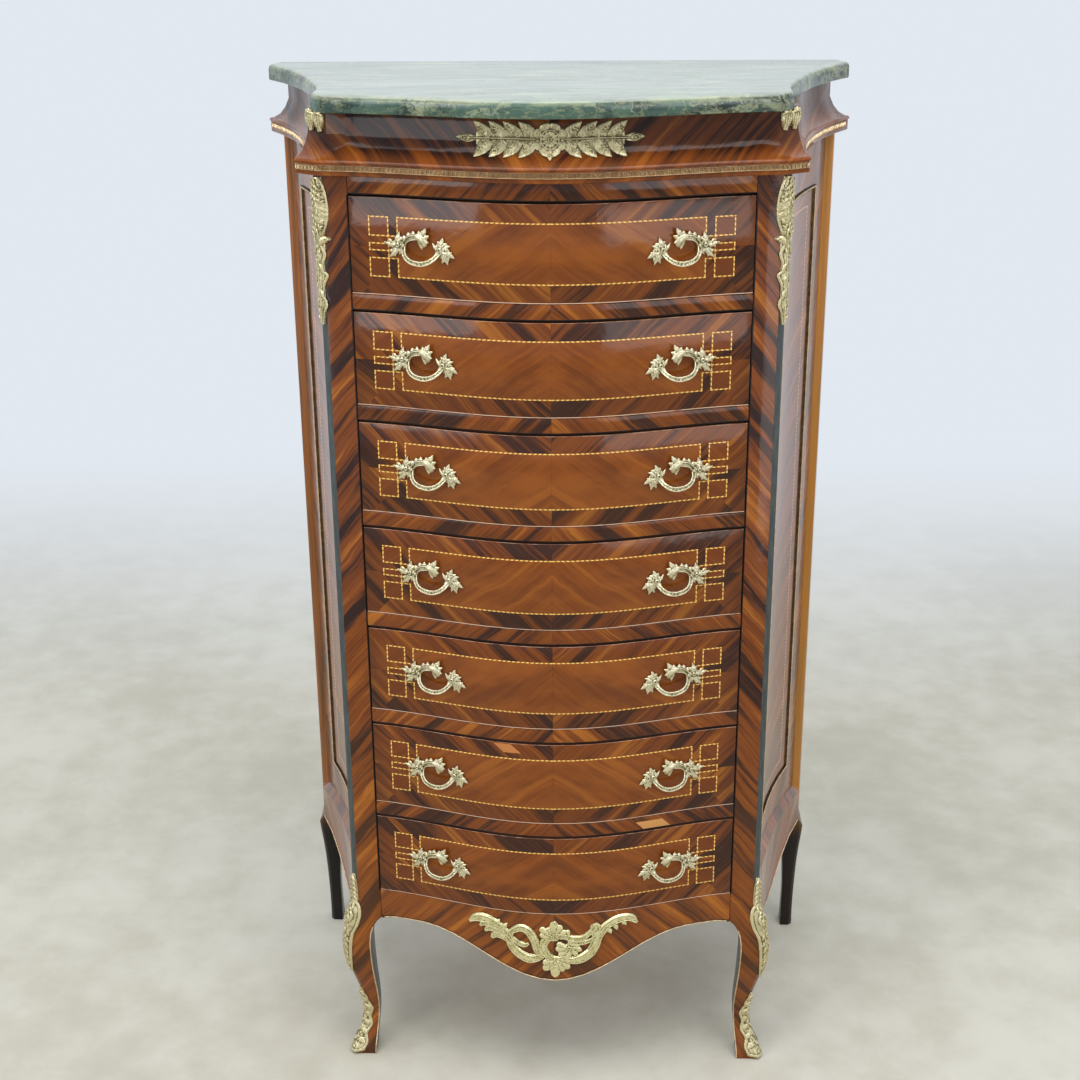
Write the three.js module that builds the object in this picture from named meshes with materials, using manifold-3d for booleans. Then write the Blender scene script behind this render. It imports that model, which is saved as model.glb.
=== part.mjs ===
// A seven-drawer semainier with a marble top, a serpentine front, hollow flaring sides and cast gilt mounts.
// Millimetres, +Z up, the front faces -Y, the origin is on the floor under the middle of the piece.
import * as THREE from "three";
import { mergeVertices } from "three/addons/utils/BufferGeometryUtils.js";
import Module from "manifold-3d";

const wasm = await Module();
wasm.setup();

// Whole piece
const seatGap = 0.3;
const overrun = 5;
const weld = 0.0001;
const drawerCount = 7;

// Plan of the case: the front swells in the middle, the corners are canted, the sides flare to the back
const caseHalfFront = 272;
const caseHalfRear = 364;
const caseDepth = 340;
const cant = 8;
const bulge = 60;
const bulgeReach = 13;
const bulgeHalfSpan = caseHalfFront + bulgeReach;
const frontSteps = 9;
const sideSteps = 8;

// Heights, from the floor up
const apronFlat = 222;
const apronHeight = 40.5;
const openingHeight = 115.5;
const railHeight = 19.5;
const topRailHeight = 23;
const corniceHeight = 69;
const slabThickness = 20;
const drawerPitch = openingHeight + railHeight;
const caseFloor = apronFlat + apronHeight;
const firstOpeningTop = caseFloor + drawerPitch * drawerCount - railHeight;
const caseTop = firstOpeningTop + topRailHeight;
const corniceTop = caseTop + corniceHeight;
const pieceHeight = corniceTop + slabThickness;

// Boards
const boardThickness = 10;
const sideThickness = 18;
const backThickness = 10;
const backLift = 6;
const backFoot = apronFlat + backLift;
const railDepth = 28;
const postWidth = 38.5;
const openingHalf = caseHalfFront - postWidth;
const postDepth = 34;
const rearPostWidth = 28;
const rearPostInner = caseHalfRear - rearPostWidth;
const rearPostDepth = 26.5;
const rearBevel = 12;
const railProud = 9;
const sideRailRise = 25;
const sideRailTop = apronFlat + sideRailRise;
const sideRailBevel = 9;

// Drawers
const drawerSideGap = 0.8;
const drawerTopGap = 2;
const runnerGap = 0.4;
const frontThickness = 20;
const drawerBoxInset = 1.5;
const drawerWall = 10;
const drawerBottom = 8;
const drawerWallDrop = 14;
const drawerBackGap = 9;

// Cornice: how far each moulding stands out from the case line, and how its corners are cut
const friezeSetback = 10;
const friezeRearSetback = 8;
const friezeCornerIn = 16;
const friezeCornerOut = 9;
const friezeFrontHalf = caseHalfFront - friezeCornerIn;
const friezeCornerHalf = caseHalfFront + friezeCornerOut;
const friezeCornerDepth = 26;
const hollowRise = 43;
const hollowFoot = 18.7;
const hollowOut = 13;
const hollowBend = -2;
const hollowBelly = 23;
const hollowSteps = 3;
const ledgeOut = 20.5;
const ledgeRearOut = 15;
const ledgeCornerIn = 8;
const ledgeFrontHalf = caseHalfFront - ledgeCornerIn;
const ledgeCornerDepth = 18;
const nosingHeight = 4;
const bandThickness = 2;
const bandHeight = 9;
const bandFoot = 5;
const filletEase = 1;

// Marble slab
const slabFrontOut = 15;
const slabCornerOut = 8;
const slabRearOut = 10;
const slabBackOut = 5;
const slabHalfFront = caseHalfFront + slabCornerOut;
const slabHalfRear = caseHalfRear + slabRearOut;
const slabDepth = caseDepth + slabBackOut;
const slabCant = 20;
const slabCantDepth = 30;
const slabClip = 9;
const slabClipDepth = 31;
const slabSideDepth = slabDepth - slabClipDepth;
const slabEase = 6;
const slabEaseSteps = 3;
const slabLowerEase = 1;

// Aprons and legs
const apronDrop = 61;
const apronShoulder = 55.5;
const apronHalfSpan = openingHalf - apronShoulder;
const apronThickness = 18;
const apronSteps = 12;
const edgeBead = 3;
const edgeBeadProud = 1.2;
const legWidth = 23;
const legInner = caseHalfFront - legWidth;
const legSwing = 12;
const ankleCant = 5;
const cornerFillet = 26;
const cornerDrop = 36;
const filletSteps = 4;
const sideLowDrop = 32;
const sideLow = apronFlat - sideLowDrop;
const sideDrop = 48;
const sideDropEnd = 20;
const sideDropHalfSpan = caseDepth / 2 - sideDropEnd;

// Framed side panels
const frameTopDrop = 61;
const frameBottomRise = 35.5;
const frameRearIn = 59;
const frameTop = caseTop - frameTopDrop;
const frameBottom = caseFloor + frameBottomRise;
const frameFront = 44;
const frameRear = caseDepth - frameRearIn;
const frameBead = 4;
const frameProud = 2.6;

// Pulls
const pullIn = 83.5;
const pullX = openingHalf - pullIn;
const pullHoleSpacing = 50;
const pullReach = 14;
const pullBar = 5.6;

// Cast mounts: how far from the wood their backs lie, and how thick the castings are
const friezeMountHalf = 103;
const friezeMountDrop = 24;
const leafHeight = 18;
const leafSpread = 13;
const leafRelief = 3.5;
const rosetteRadius = 16;
const rosetteRelief = 5;
const apronMountHalf = 110;
const apronMountRise = 34;
const apronMountTop = apronFlat + apronMountRise;
const apronMountHeight = 88;
const apronScroll = 12;
const apronRelief = 4.5;
const scrollLift = 2;
const chuteDrop = 4;
const chuteTop = caseTop - chuteDrop;
const chuteHeight = 176;
const chuteWidth = 24;
const chuteRelief = 9;
const cornerLeafDrop = 1;
const cornerLeafTop = corniceTop - cornerLeafDrop;
const cornerLeafHeight = 30;
const cornerLeafWidth = 36;
const cornerLeafRelief = 9;
const kneeRise = 38;
const kneeTop = sideRailTop + kneeRise;
const kneeHeight = 152;
const kneeWidth = 22;
const kneeRelief = 10;
const sabotHeight = 102;
const sabotWidth = 26;
const sabotRelief = 8;
const sabotLift = 0.5;

const colours = {
  marble: 0x6f8577,
  rosewood: 0x7a4526,
  edge: 0x4a3325,
  ebonised: 0x2b221c,
  bronze: 0xbfb27a,
  inside: 0xb08a5c,
  back: 0x8f6f4c,
};

const group = new THREE.Group();
const middleY = (slabDepth - bulge - ledgeOut) / 2;

// A closed body as a solid, with its faces turned outwards.
function solidOf(geometry) {
  const bare = new THREE.BufferGeometry();
  bare.setAttribute("position", geometry.getAttribute("position"));
  bare.setIndex(geometry.getIndex());
  const merged = mergeVertices(bare, weld);
  const p = merged.getAttribute("position");
  const f = Uint32Array.from(merged.getIndex().array);
  const corners = [new THREE.Vector3(), new THREE.Vector3(), new THREE.Vector3()];
  let volume = 0;
  for (let i = 0; i < f.length; i += 3) {
    corners.forEach((c, k) => c.fromBufferAttribute(p, f[i + k]));
    volume += corners[0].dot(corners[1].cross(corners[2]));
  }
  if (volume < 0) {
    for (let i = 0; i < f.length; i += 3) [f[i], f[i + 1]] = [f[i + 1], f[i]];
  }
  return new wasm.Manifold(
    new wasm.Mesh({ numProp: 3, vertProperties: Float32Array.from(p.array), triVerts: f }),
  );
}

// The geometry of a solid, mirrored to the other side of the piece where asked.
function geometryOf(solid, mirrored = false) {
  const mesh = solid.getMesh();
  const geometry = new THREE.BufferGeometry();
  geometry.setAttribute("position", new THREE.BufferAttribute(mesh.vertProperties, 3));
  geometry.setIndex(new THREE.BufferAttribute(mesh.triVerts, 1));
  if (mirrored) {
    geometry.scale(-1, 1, 1);
    const f = geometry.getIndex().array;
    for (let i = 0; i < f.length; i += 3) [f[i], f[i + 1]] = [f[i + 1], f[i]];
  }
  return geometry;
}

function mirrorOf(solid) {
  return solidOf(geometryOf(solid, true));
}

function joined(solids) {
  return solids.reduce((all, next) => all.add(next));
}

function largest(solid) {
  return solid.decompose().reduce((a, b) => (a.volume() > b.volume() ? a : b));
}

// Puts one named piece into the group, raised by a height where asked.
function place(name, solid, colour, polish = {}, up = 0) {
  const geometry = geometryOf(solid);
  geometry.translate(0, -middleY, up);
  const material = new THREE.MeshStandardMaterial({ color: colour, roughness: 0.35, ...polish });
  const mesh = new THREE.Mesh(geometry, material);
  mesh.name = name;
  group.add(mesh);
}

// A piece made for the right side, and its mirror image on the left.
function placePair(stem, solid, colour, polish) {
  place(`right_${stem}`, solid, colour, polish);
  place(`left_${stem}`, mirrorOf(solid), colour, polish);
}

// Flat triangles that fill a ring, turned the way the ring runs.
function cap(ring) {
  const normal = new THREE.Vector3();
  ring.forEach((p, i) => normal.add(p.clone().cross(ring[(i + 1) % ring.length])));
  const size = normal.toArray().map(Math.abs);
  const widest = size.indexOf(Math.max(...size));
  const [s, t] = [[1, 2], [2, 0], [0, 1]][widest];
  const flat = ring.map((p) => new THREE.Vector2(p.toArray()[s], p.toArray()[t]));
  const way = Math.sign(THREE.ShapeUtils.area(flat));
  return THREE.ShapeUtils.triangulateShape(flat, []).map((face) => {
    const turn = Math.sign(THREE.ShapeUtils.area(face.map((i) => flat[i])));
    return turn === way ? face : [face[0], face[2], face[1]];
  });
}

// A closed solid through rings of equal length, with a flat cap on each end.
function loft(rings) {
  const count = rings[0].length;
  const last = (rings.length - 1) * count;
  const faces = [];
  for (let k = 0; k < last; k += count) {
    for (let i = 0; i < count; i++) {
      const a = k + i;
      const b = k + ((i + 1) % count);
      faces.push(a, b, b + count, a, b + count, a + count);
    }
  }
  for (const [p, q, r] of cap(rings[0])) faces.push(r, q, p);
  for (const [p, q, r] of cap(rings[rings.length - 1])) faces.push(last + p, last + q, last + r);
  const points = rings.flat().flatMap((p) => p.toArray());
  const geometry = new THREE.BufferGeometry();
  geometry.setAttribute("position", new THREE.Float32BufferAttribute(points, 3));
  geometry.setIndex(faces);
  return solidOf(geometry);
}

// An outline in plan, raised between two heights.
function prism(outline, low, high) {
  return loft([low, high].map((z) => outline.map((p) => new THREE.Vector3(p.x, p.y, z))));
}

// The front's line in plan, and the way it faces at one place.
function frontY(x) {
  return (-bulge / 2) * (1 + Math.cos((Math.PI * x) / bulgeHalfSpan));
}

function frontSlope(x) {
  return ((bulge * Math.PI) / (2 * bulgeHalfSpan)) * Math.sin((Math.PI * x) / bulgeHalfSpan);
}

// Points along the front from left to right, set out from it by a distance.
function frontLine(half, out = 0, steps = frontSteps) {
  return Array.from({ length: 2 * steps + 1 }, (_, i) => {
    const x = half * (i / steps - 1);
    return new THREE.Vector2(x, frontY(x) - out);
  });
}

// An arc in plan that leaves the front corner straight back and flares to the rear.
function flare(frontX, fromY, rearX, toY) {
  const run = toY - fromY;
  const rise = rearX - frontX;
  const radius = (run * run + rise * rise) / (2 * rise);
  return (y, out = 0) => frontX + radius - Math.sqrt((radius - out) ** 2 - (y - fromY) ** 2);
}

const cornerY = frontY(caseHalfFront - cant) + cant;
const caseSide = flare(caseHalfFront, cornerY, caseHalfRear, caseDepth);
const rearPostY = caseDepth - rearPostDepth;

// Depths at which the side of the case is measured, between two of them.
function sideDepths(from, to) {
  return Array.from({ length: sideSteps + 1 }, (_, i) => from + ((to - from) * i) / sideSteps);
}

// A whole outline in plan from its right half, which runs from the front to the back.
function wholeOutline(front, rightHalf) {
  const left = rightHalf.map((p) => new THREE.Vector2(-p.x, p.y)).reverse();
  return [...front, ...rightHalf, ...left];
}

// An outline drawn in or let out by one distance all round, corners kept sharp.
function offset(outline, out) {
  return outline.map((p, i) => {
    const before = outline[(i + outline.length - 1) % outline.length];
    const after = outline[(i + 1) % outline.length];
    const a = p.clone().sub(before).normalize();
    const b = after.clone().sub(p).normalize();
    const normal = new THREE.Vector2(a.y + b.y, -a.x - b.x).normalize();
    return p.clone().addScaledVector(normal, out / (normal.x * a.y - normal.y * a.x));
  });
}

// Marble top
function slabOutline() {
  const half = slabHalfFront - slabCant;
  const front = frontLine(half, slabFrontOut);
  const startY = frontY(half) - slabFrontOut + slabCantDepth;
  const side = flare(slabHalfFront, startY, slabHalfRear, slabSideDepth);
  const right = sideDepths(startY, slabSideDepth).map((y) => new THREE.Vector2(side(y), y));
  right.push(new THREE.Vector2(slabHalfRear - slabClip, slabDepth));
  return wholeOutline(front, right);
}

const slabRings = [[-slabLowerEase, corniceTop], [0, corniceTop + slabLowerEase]];
for (let i = 0; i <= slabEaseSteps; i++) {
  const turn = (Math.PI * i) / (2 * slabEaseSteps);
  const inwards = slabEase * (1 - Math.cos(turn));
  slabRings.push([-inwards, pieceHeight - slabEase + slabEase * Math.sin(turn)]);
}
const slabPlan = slabOutline();
const marble = loft(
  slabRings.map(([out, z]) => offset(slabPlan, out).map((p) => new THREE.Vector3(p.x, p.y, z))),
);
place("marble_top", marble, colours.marble, { roughness: 0.15 });

// Cornice: a plan line for each moulding. Its corners are canted, deeper at the frieze than at the ledge
function corniceOutline(out, grown = 0) {
  const share = THREE.MathUtils.clamp((ledgeOut - out) / (ledgeOut + friezeSetback), 0, 1);
  const half = THREE.MathUtils.lerp(ledgeFrontHalf, friezeFrontHalf, share);
  const corner = THREE.MathUtils.lerp(caseHalfFront + ledgeOut, friezeCornerHalf, share);
  const depth = THREE.MathUtils.lerp(ledgeCornerDepth, friezeCornerDepth, share);
  const rearOut = THREE.MathUtils.lerp(ledgeRearOut, -friezeRearSetback, share);
  const front = frontLine(half, out + grown);
  const startY = frontY(half) - out + depth;
  const frontOut = corner - caseSide(startY);
  const right = sideDepths(startY, caseDepth).map((y) => {
    const ease = THREE.MathUtils.smoothstep(y, startY, caseDepth);
    const sideOut = THREE.MathUtils.lerp(frontOut, rearOut, ease) + grown;
    return new THREE.Vector2(caseSide(y, sideOut), y);
  });
  return { front, right };
}

function corniceProfile() {
  const ledge = ledgeOut - bandThickness;
  const bandTop = caseTop + bandFoot + bandHeight;
  const rows = [
    [ledge - filletEase, caseTop],
    [ledge, caseTop + filletEase],
    [ledge, bandTop],
    [ledgeOut, bandTop],
    [ledgeOut, bandTop + nosingHeight / 2],
    [ledgeOut - nosingHeight / 2, bandTop + nosingHeight],
  ];
  const from = new THREE.Vector2(hollowOut, caseTop + hollowFoot);
  const bend = new THREE.Vector2(hollowBend, caseTop + hollowBelly);
  const to = new THREE.Vector2(-friezeSetback, caseTop + hollowRise);
  const hollow = new THREE.QuadraticBezierCurve(from, bend, to);
  hollow.getPoints(hollowSteps).forEach((p) => rows.push([p.x, p.y]));
  rows.push([-friezeSetback, corniceTop]);
  return rows;
}

function corniceSolid(grown = 0) {
  return loft(
    corniceProfile().map(([out, z]) => {
      const { front, right } = corniceOutline(out, grown);
      return wholeOutline(front, right).map((p) => new THREE.Vector3(p.x, p.y, z));
    }),
  );
}
place("cornice", corniceSolid(), colours.rosewood);

// Stamped brass band let into the ledge, round the front and both sides
function corniceBand() {
  const inner = corniceOutline(ledgeOut - bandThickness, seatGap);
  const outer = corniceOutline(ledgeOut);
  const low = caseTop + bandFoot + seatGap;
  const high = caseTop + bandFoot + bandHeight - seatGap;
  const run = ({ front, right }) => {
    const left = right.map((p) => new THREE.Vector2(-p.x, p.y)).reverse();
    return [...left, ...front, ...right];
  };
  const a = run(inner);
  const b = run(outer);
  return loft(
    a.map((p, i) => [
      new THREE.Vector3(p.x, p.y, low),
      new THREE.Vector3(b[i].x, b[i].y, low),
      new THREE.Vector3(b[i].x, b[i].y, high),
      new THREE.Vector3(p.x, p.y, high),
    ]),
  );
}
place("cornice_band", corniceBand(), colours.bronze, { metalness: 1 });

// A value read from rows of shares, smoothly between them.
function readShares(rows, at, column) {
  const k = Math.max(1, rows.findIndex((row) => row[0] >= at));
  const [a, b] = [rows[k - 1], rows[k]];
  const before = rows[k - 2] ?? a;
  const after = rows[k + 1] ?? b;
  const t = (at - a[0]) / (b[0] - a[0]);
  const slope = (p, q) => ((q[column] - p[column]) / (q[0] - p[0])) * (b[0] - a[0]);
  const m0 = slope(before, b);
  const m1 = slope(a, after);
  const [t2, t3] = [t * t, t * t * t];
  const start = (2 * t3 - 3 * t2 + 1) * a[column] + (t3 - 2 * t2 + t) * m0;
  return start + (3 * t2 - 2 * t3) * b[column] + (t3 - t2) * m1;
}

// Front legs: height, then the outer, inner, front and back faces as shares of the swing
const frontLegShares = [
  [0, 0.92, 0, -0.75, -0.9],
  [0.05, 0.7, -0.03, -0.55, -0.85],
  [0.12, -0.1, -0.2, 0.2, -0.6],
  [0.245, -0.75, -0.42, 0.83, -0.4],
  [0.335, -0.55, -0.42, 0.55, -0.4],
  [0.49, 0.25, -0.2, -0.25, -0.6],
  [0.61, 0.85, -0.06, -0.8, -0.6],
  [0.75, 1.08, 0.04, -0.96, -0.2],
  [0.88, 0.62, 0, -0.6, 0],
  [1, 0, 0, 0, 0],
];
const rearLegShares = [
  [0, -0.42, 0.42, 0.2, 0],
  [0.12, -0.4, 0.46, 0.4, -0.15],
  [0.3, -0.28, 0.5, 0.5, -0.25],
  [0.49, -0.08, 0.33, 0.35, -0.1],
  [0.78, 0.42, 0.3, 0, 0],
  [1, 0, 0, 0, 0],
];
const legHeightShares = [0, 0.04, 0.09, 0.15, 0.22, 0.3, 0.38, 0.47, 0.56, 0.65, 0.71];

// The four faces of a front leg at one height, and its cant.
function frontLegAt(z) {
  const share = Math.min(z / sideRailTop, 1);
  const read = (column) => readShares(frontLegShares, share, column) * legSwing;
  const slim = Math.sin(Math.PI * Math.min(share / 0.73, 1));
  return {
    outer: caseHalfFront + read(1),
    inner: legInner + read(2),
    front: frontY(caseHalfFront - cant) + read(3),
    back: postDepth + read(4),
    cant: cant - (cant - ankleCant) * slim,
  };
}

// Front post and cabriole leg in one piece, with the curved bracket that meets the apron
function frontPost(grown = 0) {
  const postRing = (z) => {
    const rim = [openingHalf - grown, legInner, caseHalfFront - cant];
    const ring = rim.map((x) => new THREE.Vector3(x, frontY(x) - grown, z));
    ring.push(new THREE.Vector3(caseHalfFront + grown, cornerY - grown, z));
    ring.push(new THREE.Vector3(caseSide(postDepth, grown), postDepth, z));
    ring.push(new THREE.Vector3(openingHalf - grown, postDepth, z));
    return ring;
  };
  const legRing = (z, inner, blend) => {
    const leg = frontLegAt(z);
    const innerFront = THREE.MathUtils.lerp(frontY(openingHalf), leg.front, blend);
    const middle = (leg.inner + leg.outer - leg.cant) / 2;
    return [
      new THREE.Vector3(inner - grown, innerFront - grown, z),
      new THREE.Vector3(middle, Math.min(leg.front, innerFront) - grown, z),
      new THREE.Vector3(leg.outer - leg.cant, leg.front - grown, z),
      new THREE.Vector3(leg.outer + grown, leg.front + leg.cant - grown, z),
      new THREE.Vector3(leg.outer + grown, leg.back, z),
      new THREE.Vector3(inner - grown, leg.back, z),
    ];
  };
  const rings = [postRing(caseTop), postRing(sideRailTop)];
  const filletZ = apronFlat - cornerDrop;
  const filletX = legInner - cornerFillet;
  const meet = Math.acos((openingHalf - filletX) / cornerFillet);
  for (let i = 0; i <= filletSteps; i++) {
    const turn = meet * (1 - i / filletSteps);
    const x = filletX + cornerFillet * Math.cos(turn);
    const z = filletZ + cornerDrop * Math.sin(turn);
    rings.push(legRing(z, x, i / filletSteps));
  }
  [...legHeightShares].reverse().forEach((share) => {
    const z = share * sideRailTop;
    rings.push(legRing(z, frontLegAt(z).inner, 1));
  });
  return loft(rings);
}
placePair("front_post", frontPost(), colours.rosewood);

// Rear post with its bevelled edge, and the plainer leg under it
function rearPost() {
  const bevelOut = caseSide(rearPostY) + rearBevel;
  const ring = (z, first, second) => [
    new THREE.Vector3(rearPostInner, rearPostY, z),
    new THREE.Vector3(first, rearPostY, z),
    new THREE.Vector3(second, rearPostY + rearBevel, z),
    new THREE.Vector3(caseHalfRear, caseDepth, z),
    new THREE.Vector3(rearPostInner, caseDepth, z),
  ];
  const full = caseSide(rearPostY, railProud);
  const rings = [
    ring(caseTop, caseSide(rearPostY), bevelOut),
    ring(sideRailTop, caseSide(rearPostY), bevelOut),
    ring(sideRailTop - sideRailBevel, full, bevelOut),
    ring(sideLow + edgeBead, full, bevelOut),
  ];
  [...legHeightShares].reverse().forEach((share) => {
    const read = (column) => readShares(rearLegShares, share, column) * legSwing;
    const z = share * sideRailTop;
    const outer = caseHalfRear + read(1);
    const inner = rearPostInner + read(2);
    const front = rearPostY + read(3);
    const back = caseDepth + read(4);
    rings.push([
      new THREE.Vector3(inner, front, z),
      new THREE.Vector3(outer - ankleCant, front, z),
      new THREE.Vector3(outer, front + ankleCant, z),
      new THREE.Vector3(outer, back, z),
      new THREE.Vector3(inner, back, z),
    ]);
  });
  return loft(rings);
}
placePair("rear_post", rearPost(), colours.edge);

// Side panels: flat above, a bevelled step to a proud bottom rail, a scalloped lower edge with a bead
function sidePanel() {
  const from = postDepth + seatGap;
  const to = rearPostY - seatGap;
  const middle = (from + to) / 2;
  return loft(
    sideDepths(from, to).map((y) => {
      const dip = Math.max(0, 1 + Math.cos((Math.PI * (y - middle)) / sideDropHalfSpan)) / 2;
      const low = sideLow - sideDrop * dip;
      const ease = THREE.MathUtils.smoothstep(y, from, middle);
      const upper = railProud * THREE.MathUtils.lerp(0.3, 1, ease);
      const lower = railProud * THREE.MathUtils.lerp(0.9, 1, ease);
      const at = (out, z) => new THREE.Vector3(caseSide(y, out), y, z);
      return [
        at(-sideThickness, caseTop),
        at(0, caseTop),
        at(0, sideRailTop),
        at(upper, sideRailTop - sideRailBevel),
        at(lower, low + edgeBead),
        at(lower + edgeBeadProud, low + edgeBead),
        at(lower + edgeBeadProud, low),
        at(-sideThickness, low),
      ];
    }),
  );
}
placePair("side", sidePanel(), colours.rosewood);

// Brass bead frames on the side panels
function beadFrame() {
  const depths = sideDepths(postDepth + seatGap, rearPostY - seatGap);
  const bar = (inset, low, high) => {
    const from = frameFront + inset;
    const to = frameRear - inset;
    const stops = [from, ...depths.filter((y) => y > from && y < to), to];
    return loft(
      stops.map((y) => [
        new THREE.Vector3(caseSide(y, low), y, frameBottom + inset),
        new THREE.Vector3(caseSide(y, high), y, frameBottom + inset),
        new THREE.Vector3(caseSide(y, high), y, frameTop - inset),
        new THREE.Vector3(caseSide(y, low), y, frameTop - inset),
      ]),
    );
  };
  return bar(0, seatGap, frameProud).subtract(bar(frameBead, -overrun, frameProud + overrun));
}
placePair("bead_frame", beadFrame(), colours.bronze, { metalness: 1 });

// Back panel between the rear posts
const backHalf = rearPostInner - seatGap;
const backFront = caseDepth - backThickness;
const backPlan = [
  new THREE.Vector2(-backHalf, backFront),
  new THREE.Vector2(backHalf, backFront),
  new THREE.Vector2(backHalf, caseDepth),
  new THREE.Vector2(-backHalf, caseDepth),
];
place("back_panel", prism(backPlan, backFoot, caseTop), colours.back, { roughness: 0.8 });

// Plan of what lies inside the case at every level, behind a front line
function insidePlan(front) {
  const right = [new THREE.Vector2(front[front.length - 1].x, postDepth + seatGap)];
  const innerX = (y) => caseSide(y, -sideThickness - seatGap);
  const to = rearPostY - seatGap;
  sideDepths(postDepth + seatGap, to).forEach((y) => right.push(new THREE.Vector2(innerX(y), y)));
  right.push(new THREE.Vector2(innerX(to), backFront - seatGap));
  return wholeOutline(front, right);
}

const railHalf = openingHalf - seatGap;

// A serpentine rail with the dust board behind it that carries the drawer above
function divider(railTall) {
  const board = prism(insidePlan(frontLine(railHalf)), railTall - boardThickness, railTall);
  const rail = [...frontLine(railHalf), ...frontLine(railHalf, -railDepth).reverse()];
  return board.add(prism(rail, 0, railTall));
}

const dividerSolid = divider(railHeight);
for (let i = 1; i < drawerCount; i++) {
  const z = firstOpeningTop - drawerPitch * i;
  place(`divider_${i}`, dividerSolid, colours.rosewood, {}, z);
}
place("case_top", divider(topRailHeight), colours.rosewood, {}, firstOpeningTop);

// Bottom board behind the apron
const floorPlan = insidePlan(frontLine(railHalf, -apronThickness - seatGap));
const bottomFrame = prism(floorPlan, caseFloor - boardThickness, caseFloor);
place("bottom_frame", bottomFrame, colours.inside, { roughness: 0.7 });

// Apron with its shaped lower edge and a bead along it
function apronSolid(grown = 0) {
  return loft(
    frontLine(railHalf, 0, apronSteps).map(({ x, y }) => {
      const share = Math.min(Math.abs(x) / apronHalfSpan, 1);
      const dip = (1 + Math.cos(Math.PI * share)) / 2;
      const run = Math.max(0, Math.abs(x) - (legInner - cornerFillet));
      const round = cornerDrop * (1 - Math.sqrt(1 - (run / cornerFillet) ** 2));
      const low = apronFlat - apronDrop * dip - round;
      return [
        new THREE.Vector3(x, y - grown, caseFloor),
        new THREE.Vector3(x, y - grown, low + edgeBead),
        new THREE.Vector3(x, y - edgeBeadProud - grown, low + edgeBead),
        new THREE.Vector3(x, y - edgeBeadProud - grown, low),
        new THREE.Vector3(x, y + apronThickness, low),
        new THREE.Vector3(x, y + apronThickness, caseFloor),
      ];
    }),
  );
}
place("apron", apronSolid(), colours.rosewood);

// Drawer fronts and boxes
const drawerHalf = openingHalf - drawerSideGap;
const frontFoot = runnerGap;
const frontHead = openingHeight - drawerTopGap;

function drawerFront(grown = 0) {
  const outer = frontLine(drawerHalf, grown);
  const inner = frontLine(drawerHalf, -frontThickness).reverse();
  return prism([...outer, ...inner], frontFoot, frontHead);
}

function drawerBox() {
  const half = drawerHalf - drawerBoxInset;
  const back = backFront - drawerBackGap;
  const outline = (inset, frontGap, behind) => {
    const line = frontLine(half - inset, -frontThickness - frontGap);
    return [
      ...line,
      new THREE.Vector2(half - inset, behind),
      new THREE.Vector2(-half + inset, behind),
    ];
  };
  const top = frontHead - drawerWallDrop;
  const block = prism(outline(0, seatGap, back), frontFoot, top);
  const inside = outline(drawerWall, seatGap - overrun, back - drawerWall);
  return block.subtract(prism(inside, frontFoot + drawerBottom, top + overrun));
}

// Pulls: rows of place along and up, of how far the back stands off, and of thickness
const pullBarShares = [
  [-0.4, 0.09, 0, 0.8],
  [-0.33, -0.06, 0.45, 1],
  [-0.19, -0.22, 0.85, 1],
  [0.02, -0.29, 1, 1],
  [0.25, -0.27, 0.95, 1],
  [0.42, -0.19, 0.6, 1],
  [0.5, -0.1, 0, 0.8],
];
const pullArmShares = [
  [-0.4, 0.04, 0, 0.7],
  [-0.29, 0.17, 0.25, 1],
  [-0.14, 0.27, 0.45, 1.1],
  [0.07, 0.31, 0.5, 1.6],
  [0.21, 0.24, 0.5, 1.6],
  [0.12, 0.12, 0.35, 0.6],
];
const pullLeafShares = [
  [[0.14, 0.33, 0.5, 1.2], [0.21, 0.47, 0.45, 0.2]],
  [[0.07, 0.3, 0.5, 1.2], [0.02, 0.4, 0.45, 0.3]],
  [[-0.47, 0.32, 0, 0.2], [-0.5, 0.08, 0, 2], [-0.72, -0.13, 0, 0.3]],
  [[-0.47, 0.04, 0, 1.6], [-0.66, 0.05, 0, 1], [-0.83, 0.1, 0, 0.2]],
  [[0.6, 0.22, 0, 0.3], [0.53, 0.02, 0, 2], [0.55, -0.15, 0, 1.2], [0.68, -0.25, 0, 0.3]],
  [[0.48, -0.02, 0, 1.6], [0.68, -0.03, 0, 1], [0.82, -0.13, 0, 0.2]],
  [[0.5, -0.06, 0, 1.4], [0.38, 0.14, 0.1, 0.2]],
];

// Cross-sections of cast strokes in halves of their width: a ridge, and a rounded bar.
const ridgeShares = [[-1, 0], [1, 0], [0, 1]];
const roundShares = [[-1, 0], [1, 0], [0.6, 1], [-0.6, 1]];

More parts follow.
